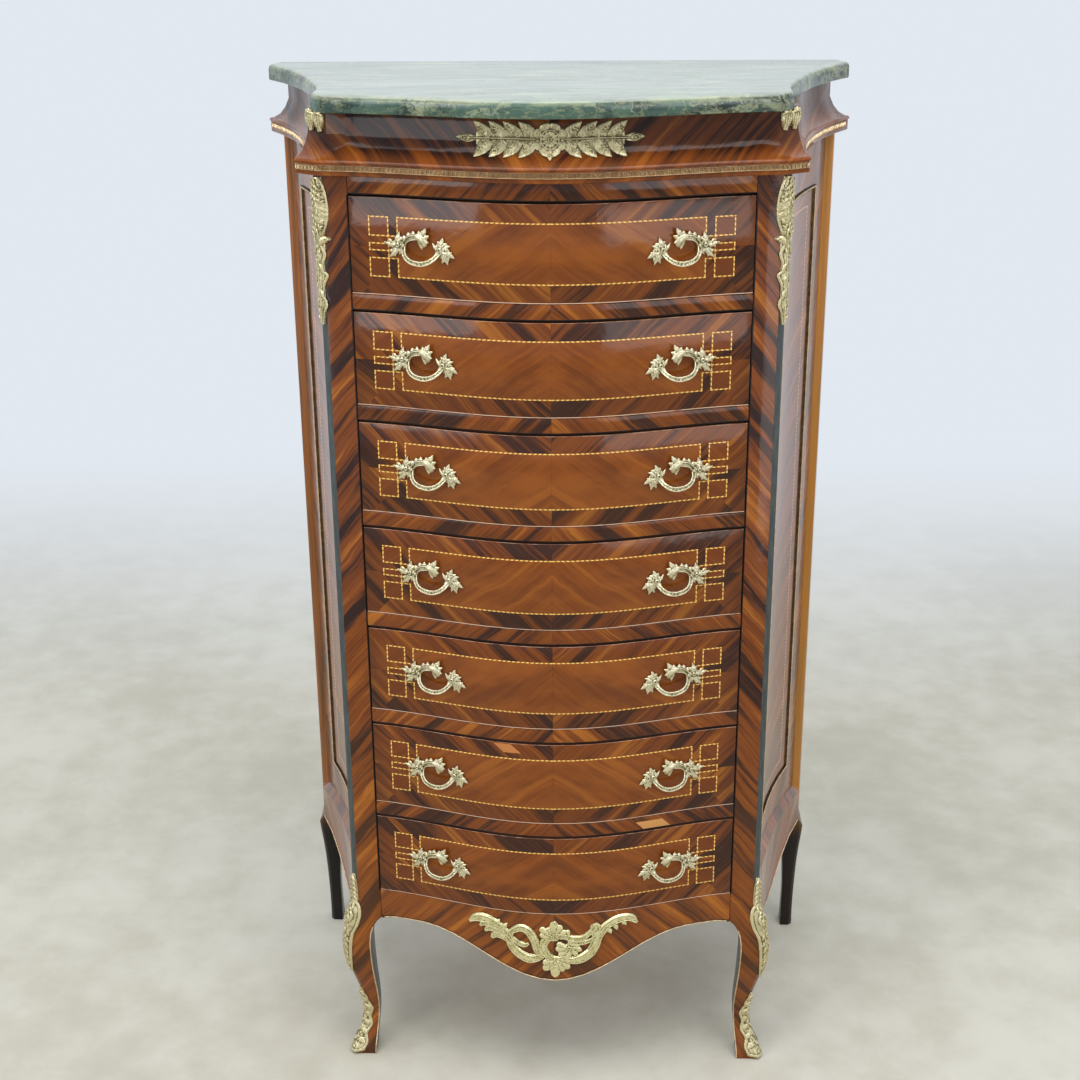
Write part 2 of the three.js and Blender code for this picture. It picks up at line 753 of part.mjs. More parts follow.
// A cast stroke: a flat-backed section that swells and tapers along a line, pointed at both ends.
function stroke(rows, size, section, spot) {
  const path = rows.map(([u, v, w]) => {
    return new THREE.Vector3(u * size.along, v * size.up, seatGap + w * size.lift);
  });
  const points = [];
  const sides = section.length;
  path.forEach((p, k) => {
    const before = path[Math.max(k - 1, 0)];
    const after = path[Math.min(k + 1, path.length - 1)];
    const way = new THREE.Vector3(after.x - before.x, after.y - before.y, 0).normalize();
    const across = new THREE.Vector3(way.y, -way.x, 0);
    const half = (rows[k][3] * size.wide) / 2;
    const rise = Math.min(1, rows[k][3]) * size.relief;
    for (const [a, b] of section) {
      const point = p.clone().addScaledVector(across, a * half);
      points.push(point.setZ(p.z + b * rise));
    }
    if (k === 0) points.unshift(p.clone().addScaledVector(way, -half));
    if (k === path.length - 1) points.push(p.clone().addScaledVector(way, half));
  });
  const faces = [];
  const end = points.length - 1;
  for (let i = 0; i < sides; i++) {
    const j = (i + 1) % sides;
    faces.push(0, 1 + i, 1 + j, end, end - sides + j, end - sides + i);
    for (let k = 1; k + sides < end; k += sides) {
      faces.push(k + i, k + sides + i, k + sides + j, k + i, k + sides + j, k + j);
    }
  }
  const placed = points.flatMap((p) => spot(p.x, p.y, p.z).toArray());
  const geometry = new THREE.BufferGeometry();
  geometry.setAttribute("position", new THREE.Float32BufferAttribute(placed, 3));
  geometry.setIndex(faces);
  return solidOf(geometry);
}

const drawerMiddle = (frontFoot + frontHead) / 2;
const slant = Math.hypot(1, frontSlope(-pullX));

// A spot on the left half of a drawer front: along it towards the middle, up, and out from it.
function pullSpot(u, v, w) {
  const x = -pullX + u / slant;
  const slope = frontSlope(x);
  const reach = w / Math.hypot(1, slope);
  return new THREE.Vector3(x + slope * reach, frontY(x) - reach, drawerMiddle + v);
}

const pullSize = {
  along: pullHoleSpacing,
  up: pullHoleSpacing,
  lift: pullReach,
  wide: pullBar,
  relief: pullBar * 0.6,
};
const leftPull = joined([
  stroke(pullBarShares, pullSize, roundShares, pullSpot),
  stroke(pullArmShares, pullSize, ridgeShares, pullSpot),
  ...pullLeafShares.map((rows) => stroke(rows, pullSize, ridgeShares, pullSpot)),
]);
const rightPull = mirrorOf(leftPull);
const frontSolid = drawerFront();
const boxSolid = drawerBox();
for (let i = 1; i <= drawerCount; i++) {
  const z = firstOpeningTop - drawerPitch * (i - 1) - openingHeight;
  place(`drawer_front_${i}`, frontSolid, colours.rosewood, {}, z);
  place(`drawer_box_${i}`, boxSolid, colours.inside, { roughness: 0.7 }, z);
  place(`pull_left_${i}`, leftPull, colours.bronze, { metalness: 1 }, z);
  place(`pull_right_${i}`, rightPull, colours.bronze, { metalness: 1 }, z);
}

// Frieze mount: a rosette between two sprays of leaves, bent to the front
const leafTipShares = [0.35, 0.51, 0.67, 0.83];
const leafRootShare = 0.14;
const stemSteps = 8;
const stemThin = 0.4;
const stemEnd = 0.7;
const stem = [];
for (let k = -stemSteps; k <= stemSteps; k++) {
  stem.push([k / stemSteps, 0, 0, Math.abs(k) === stemSteps - 1 ? stemEnd : stemThin]);
}
const friezeShares = [stem];
for (const tip of leafTipShares) {
  for (const side of [-1, 1]) {
    const root = tip - leafRootShare;
    friezeShares.push([
      [side * tip, 0.92, 0, 0.2],
      [side * (root + 0.05), 0.4, 0, 1],
      [side * root, 0, 0, 0.6],
      [side * (root + 0.05), -0.4, 0, 1],
      [side * tip, -0.92, 0, 0.2],
    ]);
  }
}

// The middle of the frieze mount, as far out as the moulding behind it.
function friezeSpot(u, v, w) {
  const z = corniceTop - friezeMountDrop + v;
  const rows = corniceProfile();
  const k = Math.max(1, rows.findIndex((row) => row[1] > z));
  const t = (z - rows[k - 1][1]) / (rows[k][1] - rows[k - 1][1]);
  const out = THREE.MathUtils.lerp(rows[k - 1][0], rows[k][0], t);
  return new THREE.Vector3(u, frontY(u) - out - w, z);
}

const rosetteShares = [[0, 0], [1, 0], [0.85, 0.7], [0.5, 0.5], [0.34, 1], [0, 1.1]];
function rosette() {
  const profile = rosetteShares.map(
    ([r, w]) => new THREE.Vector2(r * rosetteRadius, w * rosetteRelief),
  );
  const dome = new THREE.LatheGeometry(profile, 10);
  const p = dome.getAttribute("position");
  for (let i = 0; i < p.count; i++) {
    const spot = friezeSpot(p.getX(i), p.getZ(i), p.getY(i));
    p.setXYZ(i, spot.x, spot.y, spot.z);
  }
  return solidOf(dome);
}
const friezeSize = {
  along: friezeMountHalf,
  up: leafHeight,
  lift: leafRelief,
  wide: leafSpread,
  relief: leafRelief,
};
const corniceSeat = joined([corniceSolid(seatGap), mirrorOf(corniceSolid(seatGap))]);
const sprays = friezeShares.map((rows) => stroke(rows, friezeSize, ridgeShares, friezeSpot));
const friezeMount = largest(joined([rosette(), ...sprays]).subtract(corniceSeat));
place("frieze_mount", friezeMount, colours.bronze, { metalness: 1 });

// Apron mount: open scrolls round a shell, with a leaf running out at each side
const apronScrollShares = [
  [
    [-0.51, -0.4, 0, 0.7], [-0.49, -0.56, 0, 1.1], [-0.38, -0.67, 0, 1.3], [-0.23, -0.7, 0, 1.2],
    [-0.1, -0.6, 0, 0.8],
  ],
  [
    [-0.5, -0.32, 0, 0.6], [-0.38, -0.2, 0, 1], [-0.25, -0.24, 0, 1.1], [-0.18, -0.38, 0, 1],
    [-0.12, -0.6, 0, 0.8],
  ],
  [
    [0.13, -0.26, 0, 0.7], [0, -0.25, 0, 1], [-0.09, -0.34, 0, 1.1], [-0.11, -0.5, 0, 1.1],
    [-0.04, -0.64, 0, 1.1], [0.16, -0.64, 0, 0.8],
  ],
  [[0.08, -0.27, 0, 0.8], [0.3, -0.29, 0, 0.9], [0.43, -0.22, 0, 1.1], [0.5, -0.1, 0, 1]],
  [
    [0.1, -0.66, 0, 0.8], [0.3, -0.68, 0, 1.2], [0.44, -0.57, 0, 1.2], [0.53, -0.42, 0, 1],
    [0.61, -0.25, 0, 1.1],
  ],
];
const apronLeafShares = [
  [
    [-1, -0.3, 0, 0.3], [-0.84, -0.2, 0, 1.6], [-0.69, -0.24, 0, 2], [-0.56, -0.34, 0, 1.5],
    [-0.48, -0.46, 0, 0.6],
  ],
  [[-0.62, -0.28, 0, 1.2], [-0.73, -0.46, 0, 0.2]],
  [[-0.5, -0.37, 0, 0.6], [-0.38, -0.43, 0, 0.9], [-0.28, -0.42, 0, 0.3]],
  [[-0.14, -0.13, 0, 0.4], [0, -0.27, 0, 1.6], [0.11, -0.1, 0, 0.4]],
  [[0, -0.3, 0, 1.4], [0.01, 0, 0, 0.6]],
  [[-0.11, -0.83, 0, 0.4], [0.02, -0.65, 0, 1.6], [0.16, -0.83, 0, 0.4]],
  [[0.02, -0.62, 0, 1.6], [0.02, -0.97, 0, 0.6]],
  [[0.04, -0.41, 0, 0.6], [0.18, -0.46, 0, 2], [0.31, -0.48, 0, 0.4]],
  [[0.17, -0.3, 0, 1], [0.18, -0.5, 0, 1.2], [0.15, -0.7, 0, 1]],
  [[0.58, -0.3, 0, 0.8], [0.75, -0.1, 0, 1.4], [0.89, -0.04, 0, 1.3], [1, -0.17, 0, 0.3]],
  [[0.68, -0.14, 0, 1], [0.76, -0.28, 0, 0.2]],
  [[0.47, -0.12, 0, 0.9], [0.56, -0.36, 0, 0.9]],
];
const apronMountSize = {
  along: apronMountHalf,
  up: apronMountHeight,
  lift: scrollLift,
  wide: apronScroll,
  relief: apronRelief,
};
const apronSpot = (u, v, w) => new THREE.Vector3(u, frontY(u) - w, apronMountTop + v);
const apronStroke = (section) => (rows) => stroke(rows, apronMountSize, section, apronSpot);
const apronMount = joined([
  ...apronScrollShares.map(apronStroke(ridgeShares)),
  ...apronLeafShares.map(apronStroke(ridgeShares)),
]);
place("apron_mount", largest(apronMount), colours.bronze, { metalness: 1 });

// A spot on the canted front corner: across it, up from a height, and out along the diagonal.
function cornerSpot(top) {
  return (u, v, w) => {
    const z = top + v;
    const leg = frontLegAt(z);
    const half = leg.cant / 2;
    const round = Math.max(0, Math.abs(u) - half);
    const out = (w - round) * Math.SQRT1_2;
    const across = u * Math.SQRT1_2;
    return new THREE.Vector3(leg.outer - half - across + out, leg.front + half - across - out, z);
  };
}
const postSeat = frontPost(seatGap);

// A mount that wraps the corner: its strokes joined, and its back cut to lie on what carries it.
function cornerMount(table, size, spot, carrier) {
  const strokes = table.map((rows) => stroke(rows, size, roundShares, spot));
  return largest(joined(strokes).subtract(carrier));
}

// Chutes under the ledge, wide at the head and twisted below
const chuteShares = [
  [[0, -0.02, -0.2, 0.4], [0.02, -0.12, -0.2, 0.85], [0.06, -0.24, -0.2, 1], [0, -0.4, -0.2, 0.6]],
  [[-0.36, -0.42, 0, 0.35], [0, -0.4, 0.1, 0.4], [0.36, -0.42, 0, 0.35]],
  [
    [0, -0.4, -0.2, 0.5], [-0.1, -0.52, -0.2, 0.4], [0.1, -0.63, -0.2, 0.5],
    [-0.05, -0.78, -0.2, 0.4], [0, -0.98, -0.2, 0.25],
  ],
];
const chuteSize = {
  along: chuteWidth,
  up: chuteHeight,
  lift: chuteRelief,
  wide: chuteWidth,
  relief: chuteRelief,
};
const chute = cornerMount(chuteShares, chuteSize, cornerSpot(chuteTop), postSeat);
placePair("chute", chute, colours.bronze, { metalness: 1 });

// Knee mounts: a leafy head that thins to a strip down the corner of the leg
const kneeShares = [
  [
    [0, -0.01, -0.2, 0.15], [0, -0.16, -0.2, 0.5], [0, -0.4, -0.2, 0.95], [0, -0.56, -0.2, 0.6],
    [0, -0.78, -0.2, 0.45], [0, -0.98, -0.2, 0.2],
  ],
  [[-0.24, -0.26, 0, 0.25], [0, -0.28, 0.1, 0.4], [0.24, -0.26, 0, 0.25]],
  [[-0.4, -0.44, 0, 0.25], [0, -0.47, 0.1, 0.4], [0.4, -0.44, 0, 0.25]],
];
const kneeSize = {
  along: kneeWidth,
  up: kneeHeight,
  lift: kneeRelief,
  wide: kneeWidth,
  relief: kneeRelief,
};
const kneeMount = cornerMount(kneeShares, kneeSize, cornerSpot(kneeTop), postSeat);
placePair("knee_mount", kneeMount, colours.bronze, { metalness: 1 });

// Sabots: a leaf up the corner of the foot over a toe that spreads at the floor
const sabotShares = [
  [
    [0, 0.97, -0.2, 0.2], [0, 0.75, -0.2, 0.4], [0, 0.45, -0.2, 0.55], [0, 0.25, -0.2, 0.9],
    [0, 0.08, -0.2, 1.1],
  ],
  [[-0.5, 0.09, -0.1, 0.4], [0, 0.07, 0, 0.5], [0.5, 0.09, -0.1, 0.4]],
];
const sabotSize = {
  along: sabotWidth,
  up: sabotHeight,
  lift: sabotRelief,
  wide: sabotWidth,
  relief: sabotRelief,
};
const sabotFloorPlan = [
  new THREE.Vector2(0, -caseHalfFront),
  new THREE.Vector2(caseHalfRear, -caseHalfFront),
  new THREE.Vector2(caseHalfRear, caseDepth),
  new THREE.Vector2(0, caseDepth),
];
const sabotSeat = postSeat.add(prism(sabotFloorPlan, -sabotHeight, sabotLift));
const sabot = cornerMount(sabotShares, sabotSize, cornerSpot(0), sabotSeat);
placePair("sabot", sabot, colours.bronze, { metalness: 1 });

// Reeded corner mounts on the cants of the frieze
const reedShares = [-0.36, -0.12, 0.12, 0.36];
const cantRun = friezeCornerHalf - friezeFrontHalf;
const cantWay = new THREE.Vector2(cantRun, friezeCornerDepth).normalize();
function friezeCornerSpot(u, v, w) {
  const x = friezeFrontHalf + cantRun / 2 + u * cantWay.x + w * cantWay.y;
  const frontAt = frontY(friezeFrontHalf) + friezeSetback + friezeCornerDepth / 2;
  return new THREE.Vector3(x, frontAt + u * cantWay.y - w * cantWay.x, cornerLeafTop + v);
}
const cornerLeafShares = [[[-0.4, -0.16, -0.1, 0.3], [0.4, -0.16, -0.1, 0.3]]];
for (const u of reedShares) {
  const drop = 0.94 - Math.abs(u) / 3;
  cornerLeafShares.push([[u, -0.1, -0.1, 0.26], [u, -0.45, -0.1, 0.3], [u, -drop, -0.1, 0.16]]);
}
const cornerLeafSize = {
  along: cornerLeafWidth,
  up: cornerLeafHeight,
  lift: cornerLeafRelief,
  wide: cornerLeafWidth,
  relief: cornerLeafRelief,
};
const cornerLeaf = cornerMount(cornerLeafShares, cornerLeafSize, friezeCornerSpot, corniceSeat);
placePair("frieze_corner_mount", cornerLeaf, colours.bronze, { metalness: 1 });

export default group;
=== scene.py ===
import math

import bmesh
import bpy
import numpy
from mathutils import Matrix, Vector, noise
from mathutils.bvhtree import BVHTree


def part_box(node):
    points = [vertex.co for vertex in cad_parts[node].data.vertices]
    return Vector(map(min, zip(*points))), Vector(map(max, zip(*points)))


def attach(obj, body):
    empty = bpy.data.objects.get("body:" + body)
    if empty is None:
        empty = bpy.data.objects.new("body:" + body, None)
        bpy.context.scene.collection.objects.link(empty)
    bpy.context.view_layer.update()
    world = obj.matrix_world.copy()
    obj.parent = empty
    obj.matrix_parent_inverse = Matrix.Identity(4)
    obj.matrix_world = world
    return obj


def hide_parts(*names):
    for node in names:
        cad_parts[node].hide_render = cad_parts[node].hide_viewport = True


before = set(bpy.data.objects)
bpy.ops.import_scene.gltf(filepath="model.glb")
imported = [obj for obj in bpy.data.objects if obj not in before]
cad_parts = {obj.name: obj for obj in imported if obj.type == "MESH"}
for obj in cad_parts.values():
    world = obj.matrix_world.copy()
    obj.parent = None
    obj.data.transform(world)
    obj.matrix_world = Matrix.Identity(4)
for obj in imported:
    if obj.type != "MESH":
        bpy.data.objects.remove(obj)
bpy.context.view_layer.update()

MM = 0.001
HANDS = (("right", 1), ("left", -1))

# Plan of the front: a wave that bows out in the middle and turns back towards the corners
BOW = 30 * MM
WAVE = 285 * MM
CORNER_Y = -132.25 * MM

# Drawers, counted from the top
DRAWERS = 7
FIRST_FLOOR = 1072.5 * MM
PITCH = 135 * MM
FRONT_MIDDLE = 56.95 * MM

# Camera of the photograph: focal length and picture width in pixels, angles in degrees
FOCAL = 1724
PICTURE = 1080
FILM = 36
CAMERA_YAW = -1.98
CAMERA_DIP = 21.28
CAMERA_ROLL = 0.45
CAMERA_PLACE = Vector((52, -2107.25, 1533)) * MM


def front_y(x):
    return CORNER_Y - BOW * (1 + math.cos(math.pi * x / WAVE))


def front_slope(x):
    return BOW * math.pi / WAVE * math.sin(math.pi * x / WAVE)


def drawer_middle(index):
    return FIRST_FLOOR - PITCH * (index - 1) + FRONT_MIDDLE


def linked(name, data):
    """A new object in the scene."""
    made = bpy.data.objects.new(name, data)
    bpy.context.scene.collection.objects.link(made)
    return made


def make_camera():
    data = bpy.data.cameras.new("camera")
    data.sensor_width = FILM
    data.lens = FILM * FOCAL / PICTURE
    yaw, dip, roll = (math.radians(a) for a in (CAMERA_YAW, CAMERA_DIP, CAMERA_ROLL))
    forward = Vector((math.sin(yaw) * math.cos(dip), math.cos(yaw) * math.cos(dip), -math.sin(dip)))
    right = Vector((math.cos(yaw), -math.sin(yaw), 0))
    down = forward.cross(right)
    turned_right = math.cos(roll) * right + math.sin(roll) * down
    turned_down = -math.sin(roll) * right + math.cos(roll) * down
    turn = Matrix((turned_right, -turned_down, -forward)).transposed()
    camera = linked("camera", data)
    camera.matrix_world = Matrix.Translation(CAMERA_PLACE) @ turn.to_4x4()
    bpy.context.scene.camera = camera


make_camera()


# Shader maths
class Value:
    """An output socket that Python's operators build on."""

    def __init__(self, shader, socket):
        self.shader = shader
        self.socket = socket

    def ramp(self, low, high):
        """0 at low, 1 at high, eased between; low may be the larger."""
        inputs = {"Value": self, "From Min": low, "From Max": high}
        return self.shader.node("ShaderNodeMapRange", {"interpolation_type": "SMOOTHSTEP"}, inputs)


def math_method(operation):
    """A method of Value that adds one math node."""

    def method(value, *others):
        sockets = dict(enumerate((value, *others)))
        return value.shader.node("ShaderNodeMath", {"operation": operation}, sockets)

    return method


OPERATIONS = {
    "__add__": "ADD",
    "__radd__": "ADD",
    "__sub__": "SUBTRACT",
    "__mul__": "MULTIPLY",
    "__truediv__": "DIVIDE",
    "__lt__": "LESS_THAN",
    "__gt__": "GREATER_THAN",
    "__abs__": "ABSOLUTE",
    "fract": "FRACT",
    "most": "MAXIMUM",
    "power": "POWER",
}
for method_name, operation in OPERATIONS.items():
    setattr(Value, method_name, math_method(operation))


class Shader:
    """A material, its shader node and short ways to add nodes to it."""

    def __init__(self, name, **constants):
        self.material = bpy.data.materials.new(name)
        self.material.use_nodes = True
        self.tone = None
        self.tree = self.material.node_tree
        self.tree.nodes.clear()
        self.output = self.tree.nodes.new("ShaderNodeOutputMaterial")
        self.surface = self.tree.nodes.new("ShaderNodeBsdfPrincipled")
        self.tree.links.new(self.surface.outputs[0], self.output.inputs[0])
        for socket, value in constants.items():
            self.surface.inputs[socket.replace("_", " ")].default_value = value

    def node(self, kind, settings=None, sockets=None, out=0):
        made = self.tree.nodes.new(kind)
        for key, value in (settings or {}).items():
            setattr(made, key, value)
        for key, value in (sockets or {}).items():
            self.plug(made.inputs[key], value)
        return Value(self, made.outputs[out])

    def plug(self, socket, value):
        if isinstance(value, Value):
            self.tree.links.new(value.socket, socket)
        elif hasattr(socket.default_value, "__len__") and len(value) == 3 and socket.type == "RGBA":
            socket.default_value = (*value, 1)
        else:
            socket.default_value = value

    def feed(self, **sockets):
        for socket, value in sockets.items():
            self.plug(self.surface.inputs[socket.replace("_", " ")], value)

    def place(self):
        """The object's own x, y and z."""
        node = self.tree.nodes.new("ShaderNodeSeparateXYZ")
        self.plug(node.inputs[0], self.node("ShaderNodeTexCoord", out="Object"))
        return [Value(self, o) for o in node.outputs]

    def noise(self, x, y, z, detail=3, rough=0.55):
        vector = self.node("ShaderNodeCombineXYZ", None, {0: x, 1: y, 2: z})
        sockets = {"Vector": vector, "Scale": 1, "Detail": detail, "Roughness": rough}
        return self.node("ShaderNodeTexNoise", None, sockets, out="Fac")

    def lay(self, share, high):
        """Lays a colour over the tone so far, by a share."""
        self.tone = self.blend(share, self.tone, high)

    def blend(self, share, low, high):
        made = self.tree.nodes.new("ShaderNodeMix")
        made.data_type = "RGBA"
        self.plug(made.inputs[0], share)
        self.plug(made.inputs[6], low)
        self.plug(made.inputs[7], high)
        return Value(self, made.outputs[2])

    def finished(self, rough, height, depth):
        """The material, with its tone, a roughness and a bump of this depth."""
        bump = self.node("ShaderNodeBump", None, {"Height": height, "Distance": depth})
        self.feed(Base_Color=self.tone, Roughness=rough, Normal=bump)
        return self.material


def colour(red, green, blue):
    """A display colour, 0 to 255, as the linear colour that nodes take."""
    shares = [c / 255 for c in (red, green, blue)]
    return tuple(c / 12.92 if c <= 0.04045 else ((c + 0.055) / 1.055) ** 2.4 for c in shares)


ROSEWOOD = colour(120, 62, 20)
AMBER = colour(168, 100, 32)
RUSSET = colour(92, 42, 17)
DARK = colour(31, 20, 19)
PAINTED_GAP_SHADE = colour(14, 9, 10)
FOOT_BLACK = colour(16, 17, 19)
FIELD_GOLD = colour(150, 84, 30)
STILE_GOLD = colour(210, 146, 52)
NOSING_LIT_RED = colour(136, 76, 40)
SIDE_REFLECTION_PALE = colour(206, 168, 150)
CREAM = colour(236, 194, 104)
STRING_BROWN = colour(158, 92, 36)
WORN_EDGE_AND_HIGHLIGHT = colour(232, 196, 168)
RAIL_MEND = colour(196, 140, 80)
DRAWER_MEND = colour(190, 122, 66)

# Line where the two halves of the veneer meet, and share of dark in it
SEAM = 0.3 * MM
SEAM_DARK = 0.3

# Painted shade of the gaps: over each drawer, from its floor, and beside the drawers, each with the heights
# it keeps to
GAP_OVER = (113.4 * MM, 117.3 * MM)
OVER_HEIGHTS = (252 * MM, 1190 * MM)
BESIDE_HALF = 235 * MM
BESIDE_HEIGHTS = (262 * MM, 1187 * MM)
PITCHES_BELOW = 20

# Stringing on a drawer front from its middle, and on the sides from the bead frame
STRING = dict(top=34.5 * MM, key=13 * MM, slot=4 * MM, field=176 * MM, inner=187 * MM, outer=209.5 * MM)
STRING_HALF = 0.72 * MM
SIDE_STRING_HALF = 0.7 * MM
SIDE_STRING_IN = 24 * MM
DASH = 5.8 * MM
DASH_LIGHT = 0.62

# Arrises of a drawer front, rubbed and with a painted highlight, where its border turns and darkens, and the
# drawer with a mend
LOWER_ARRIS = -55.3 * MM
UPPER_ARRIS = 56 * MM
FLANK = 170 * MM
BORDER_END = (208 * MM, 236 * MM)
MENDED_DRAWER = 6

# Heights over which a colour changes: paler low wood, blackened rear legs, painted shade and painted light
# on the cornice, and a painted sheen and highlight on the slab
PALER_LOW = (620 * MM, 200 * MM)
BLACKENED = (250 * MM, 150 * MM)
SLAB_SHADE = (1227 * MM, 1248 * MM)
NOSING_LIGHT = (1240 * MM, 1226 * MM)
SLAB_TOP_SHEEN = (1296.5 * MM, 1299.4 * MM)
ARRIS_FOOT = (1292.5 * MM, 1295.5 * MM)
ARRIS_TOP = (1298.8 * MM, 1299.8 * MM)

# Bead frame on each side of the case, and its bead's width
FRAME = dict(front=-88.25 * MM, rear=148.75 * MM, low=298 * MM, high=1150 * MM, bead=4 * MM)
FRAME_SHADOW_HALF = 3.1 * MM


def between(value, limits):
    low, high = limits
    return (value > low) * (value < high)


def figure(shader, across, along, seed, contrast=1.0):
    """Rosewood veneer: dark and amber stripes along the grain, with fine fibres and pores."""
    sway = shader.noise(across * 8, along * 8, seed, detail=2) - 0.5
    curl = shader.noise(across * 34, along * 18, seed + 5.0, detail=2) - 0.5
    drift = across + sway * 0.015 + curl * 0.005
    broad = shader.noise(drift * 42, along * 2.6, seed + 3.1, detail=3, rough=0.5)
    streak = shader.noise(drift * 150, along * 5, seed + 7.7, detail=4, rough=0.7)
    fibre = shader.noise(drift * 620, along * 14, seed + 11.3, detail=3, rough=0.7)
    both = broad * 0.66 + streak * 0.34
    dark = both.ramp(0.485, 0.575) * contrast
    light = both.ramp(0.46, 0.37)
    tone = shader.blend(light * (0.25 + 0.55 * contrast), ROSEWOOD, AMBER)
    tone = shader.blend(streak.ramp(0.42, 0.66) * (0.25 + 0.4 * contrast), tone, RUSSET)
    tone = shader.blend(dark * 0.93, tone, DARK)
    tone = shader.blend(fibre.ramp(0.5, 0.76) * (0.16 + 0.3 * contrast), tone, DARK)
    return shader.blend(fibre.ramp(0.47, 0.25) * 0.2, tone, AMBER)


def turned(a, v, degrees):
    """Across and along the grain for a grain that leaves the middle at an angle."""
    turn = math.radians(degrees)
    return v * math.cos(turn) - a * math.sin(turn), a * math.cos(turn) + v * math.sin(turn)


def lacquered(shader, gloss=0.26):
    """High gloss over the veneer, with the waviness of brushed lacquer."""
    x, y, z = shader.place()
    swell = shader.noise(x * 24, y * 24, z * 24, detail=2)
    ripple = shader.noise(x * 90, y * 90, z * 90, detail=2)
    haze = shader.noise(x * 14, y * 14, z * 14)
    scuff = shader.noise(x * 240, y * 240, z * 1500)
    rough = haze.ramp(0.2, 0.9) * 0.07 + 0.08 + scuff.ramp(0.62, 0.8) * 0.12
    shader.surface.inputs["Specular IOR Level"].default_value = gloss
    return shader.finished(rough, swell + ripple * 0.3, 0.0005)


def front_veneer(name, degrees, seed, contrast=1.0):
    """A shader for the case front, with its x and z and a figure that mirrors about the middle."""
    shader = Shader(name)
    x, _, z = shader.place()
    across, along = turned(abs(x), z, degrees)
    shader.tone = figure(shader, across, along, (x > 0) * 5.3 + seed, contrast)
    return shader, x, z


def mend(x, up, place, ends, slant, half):
    """A slanting patch of newer veneer: its place, ends and half width in millimetres."""
    leaning = abs(x - place[0] * MM + (up - place[1] * MM) * slant)
    return between(up, [end * MM for end in ends]) * (leaning < half * MM)


def rail_material():
    """Rails, with painted shade in the gap over each drawer and one mend low on the right."""
    shader, x, z = front_veneer("rail_veneer", -44, 2.0, 0.9)
    shader.lay(mend(x, z, (128, 385), (380, 391), 0.9, 17), RAIL_MEND)
    shader.lay((abs(x) < SEAM) * SEAM_DARK, DARK)
    rise = ((z - FIRST_FLOOR) / PITCH + PITCHES_BELOW).fract() * PITCH
    # Painted shade of the gap over each drawer, on the rail's lower arris
    shader.lay(between(rise, GAP_OVER) * between(z, OVER_HEIGHTS), PAINTED_GAP_SHADE)
    return lacquered(shader)


def post_material():
    """Front posts, with painted shade in the gap beside the drawers and legs that turn paler and more amber
    towards the floor.
    """
    shader, x, z = front_veneer("post_veneer", -52, 9.0)
    shader.lay(0.08, DARK)
    # Paler and more amber towards the floor
    shader.lay(z.ramp(*PALER_LOW) * 0.12, AMBER)
    # Painted shade of the gap beside the drawers
    shader.lay((abs(x) < BESIDE_HALF) * between(z, BESIDE_HEIGHTS), PAINTED_GAP_SHADE)
    return lacquered(shader)


def apron_material():
    shader, x, z = front_veneer("apron_veneer", -46, 21.0, 0.85)
    # Paler and more amber towards the floor
    shader.lay(z.ramp(*PALER_LOW) * 0.1, AMBER)
    shader.lay((abs(x) < SEAM) * SEAM_DARK, DARK)
    return lacquered(shader)


def cornice_material():
    """Cornice: painted shade in the hollow under the slab, and red-brown painted light on the nosing, which
    faces up.
    """
    shader, x, z = front_veneer("cornice_veneer", 46, 33.0)
    # Painted shade under the slab, then painted light on the nosing that faces the ceiling
    shader.lay(z.ramp(*SLAB_SHADE) * 0.5, DARK)
    shader.lay(z.ramp(*NOSING_LIGHT) * 0.4, NOSING_LIT_RED)
    shader.lay((abs(x) < SEAM) * SEAM_DARK, DARK)
    return lacquered(shader, 0.17)


def most_of(values):
    found = values[0]
    for value in values[1:]:
        found = found.most(value)
    return found


def stringing(a, b, v):
    """Where the stringing of a drawer front runs, and where its light dashes lie."""
    s = STRING

    def run(off, reach, start, end, length):
        on = (abs(off) < STRING_HALF) * between(reach, (start - STRING_HALF, end + STRING_HALF))
        return on, on * (((length + off * 0.9) / DASH).fract() < DASH_LIGHT)

    def level(height, start, end):
        return run(b - height, a, start, end, a)

    def upright(place, start, end):
        return run(a - place, b, start, end, v)

    runs = [
        level(s["top"], -1, s["field"]),
        level(s["top"], s["inner"], s["outer"]),
        level(s["key"], s["field"], s["outer"]),
        level(s["slot"], s["inner"], s["outer"]),
        upright(s["field"], s["key"], s["top"]),
        upright(s["inner"], -1, s["top"]),
        upright(s["outer"], s["key"], s["top"]),
        upright(s["outer"], -1, s["slot"]),
    ]
    return [most_of(values) for values in zip(*runs)]


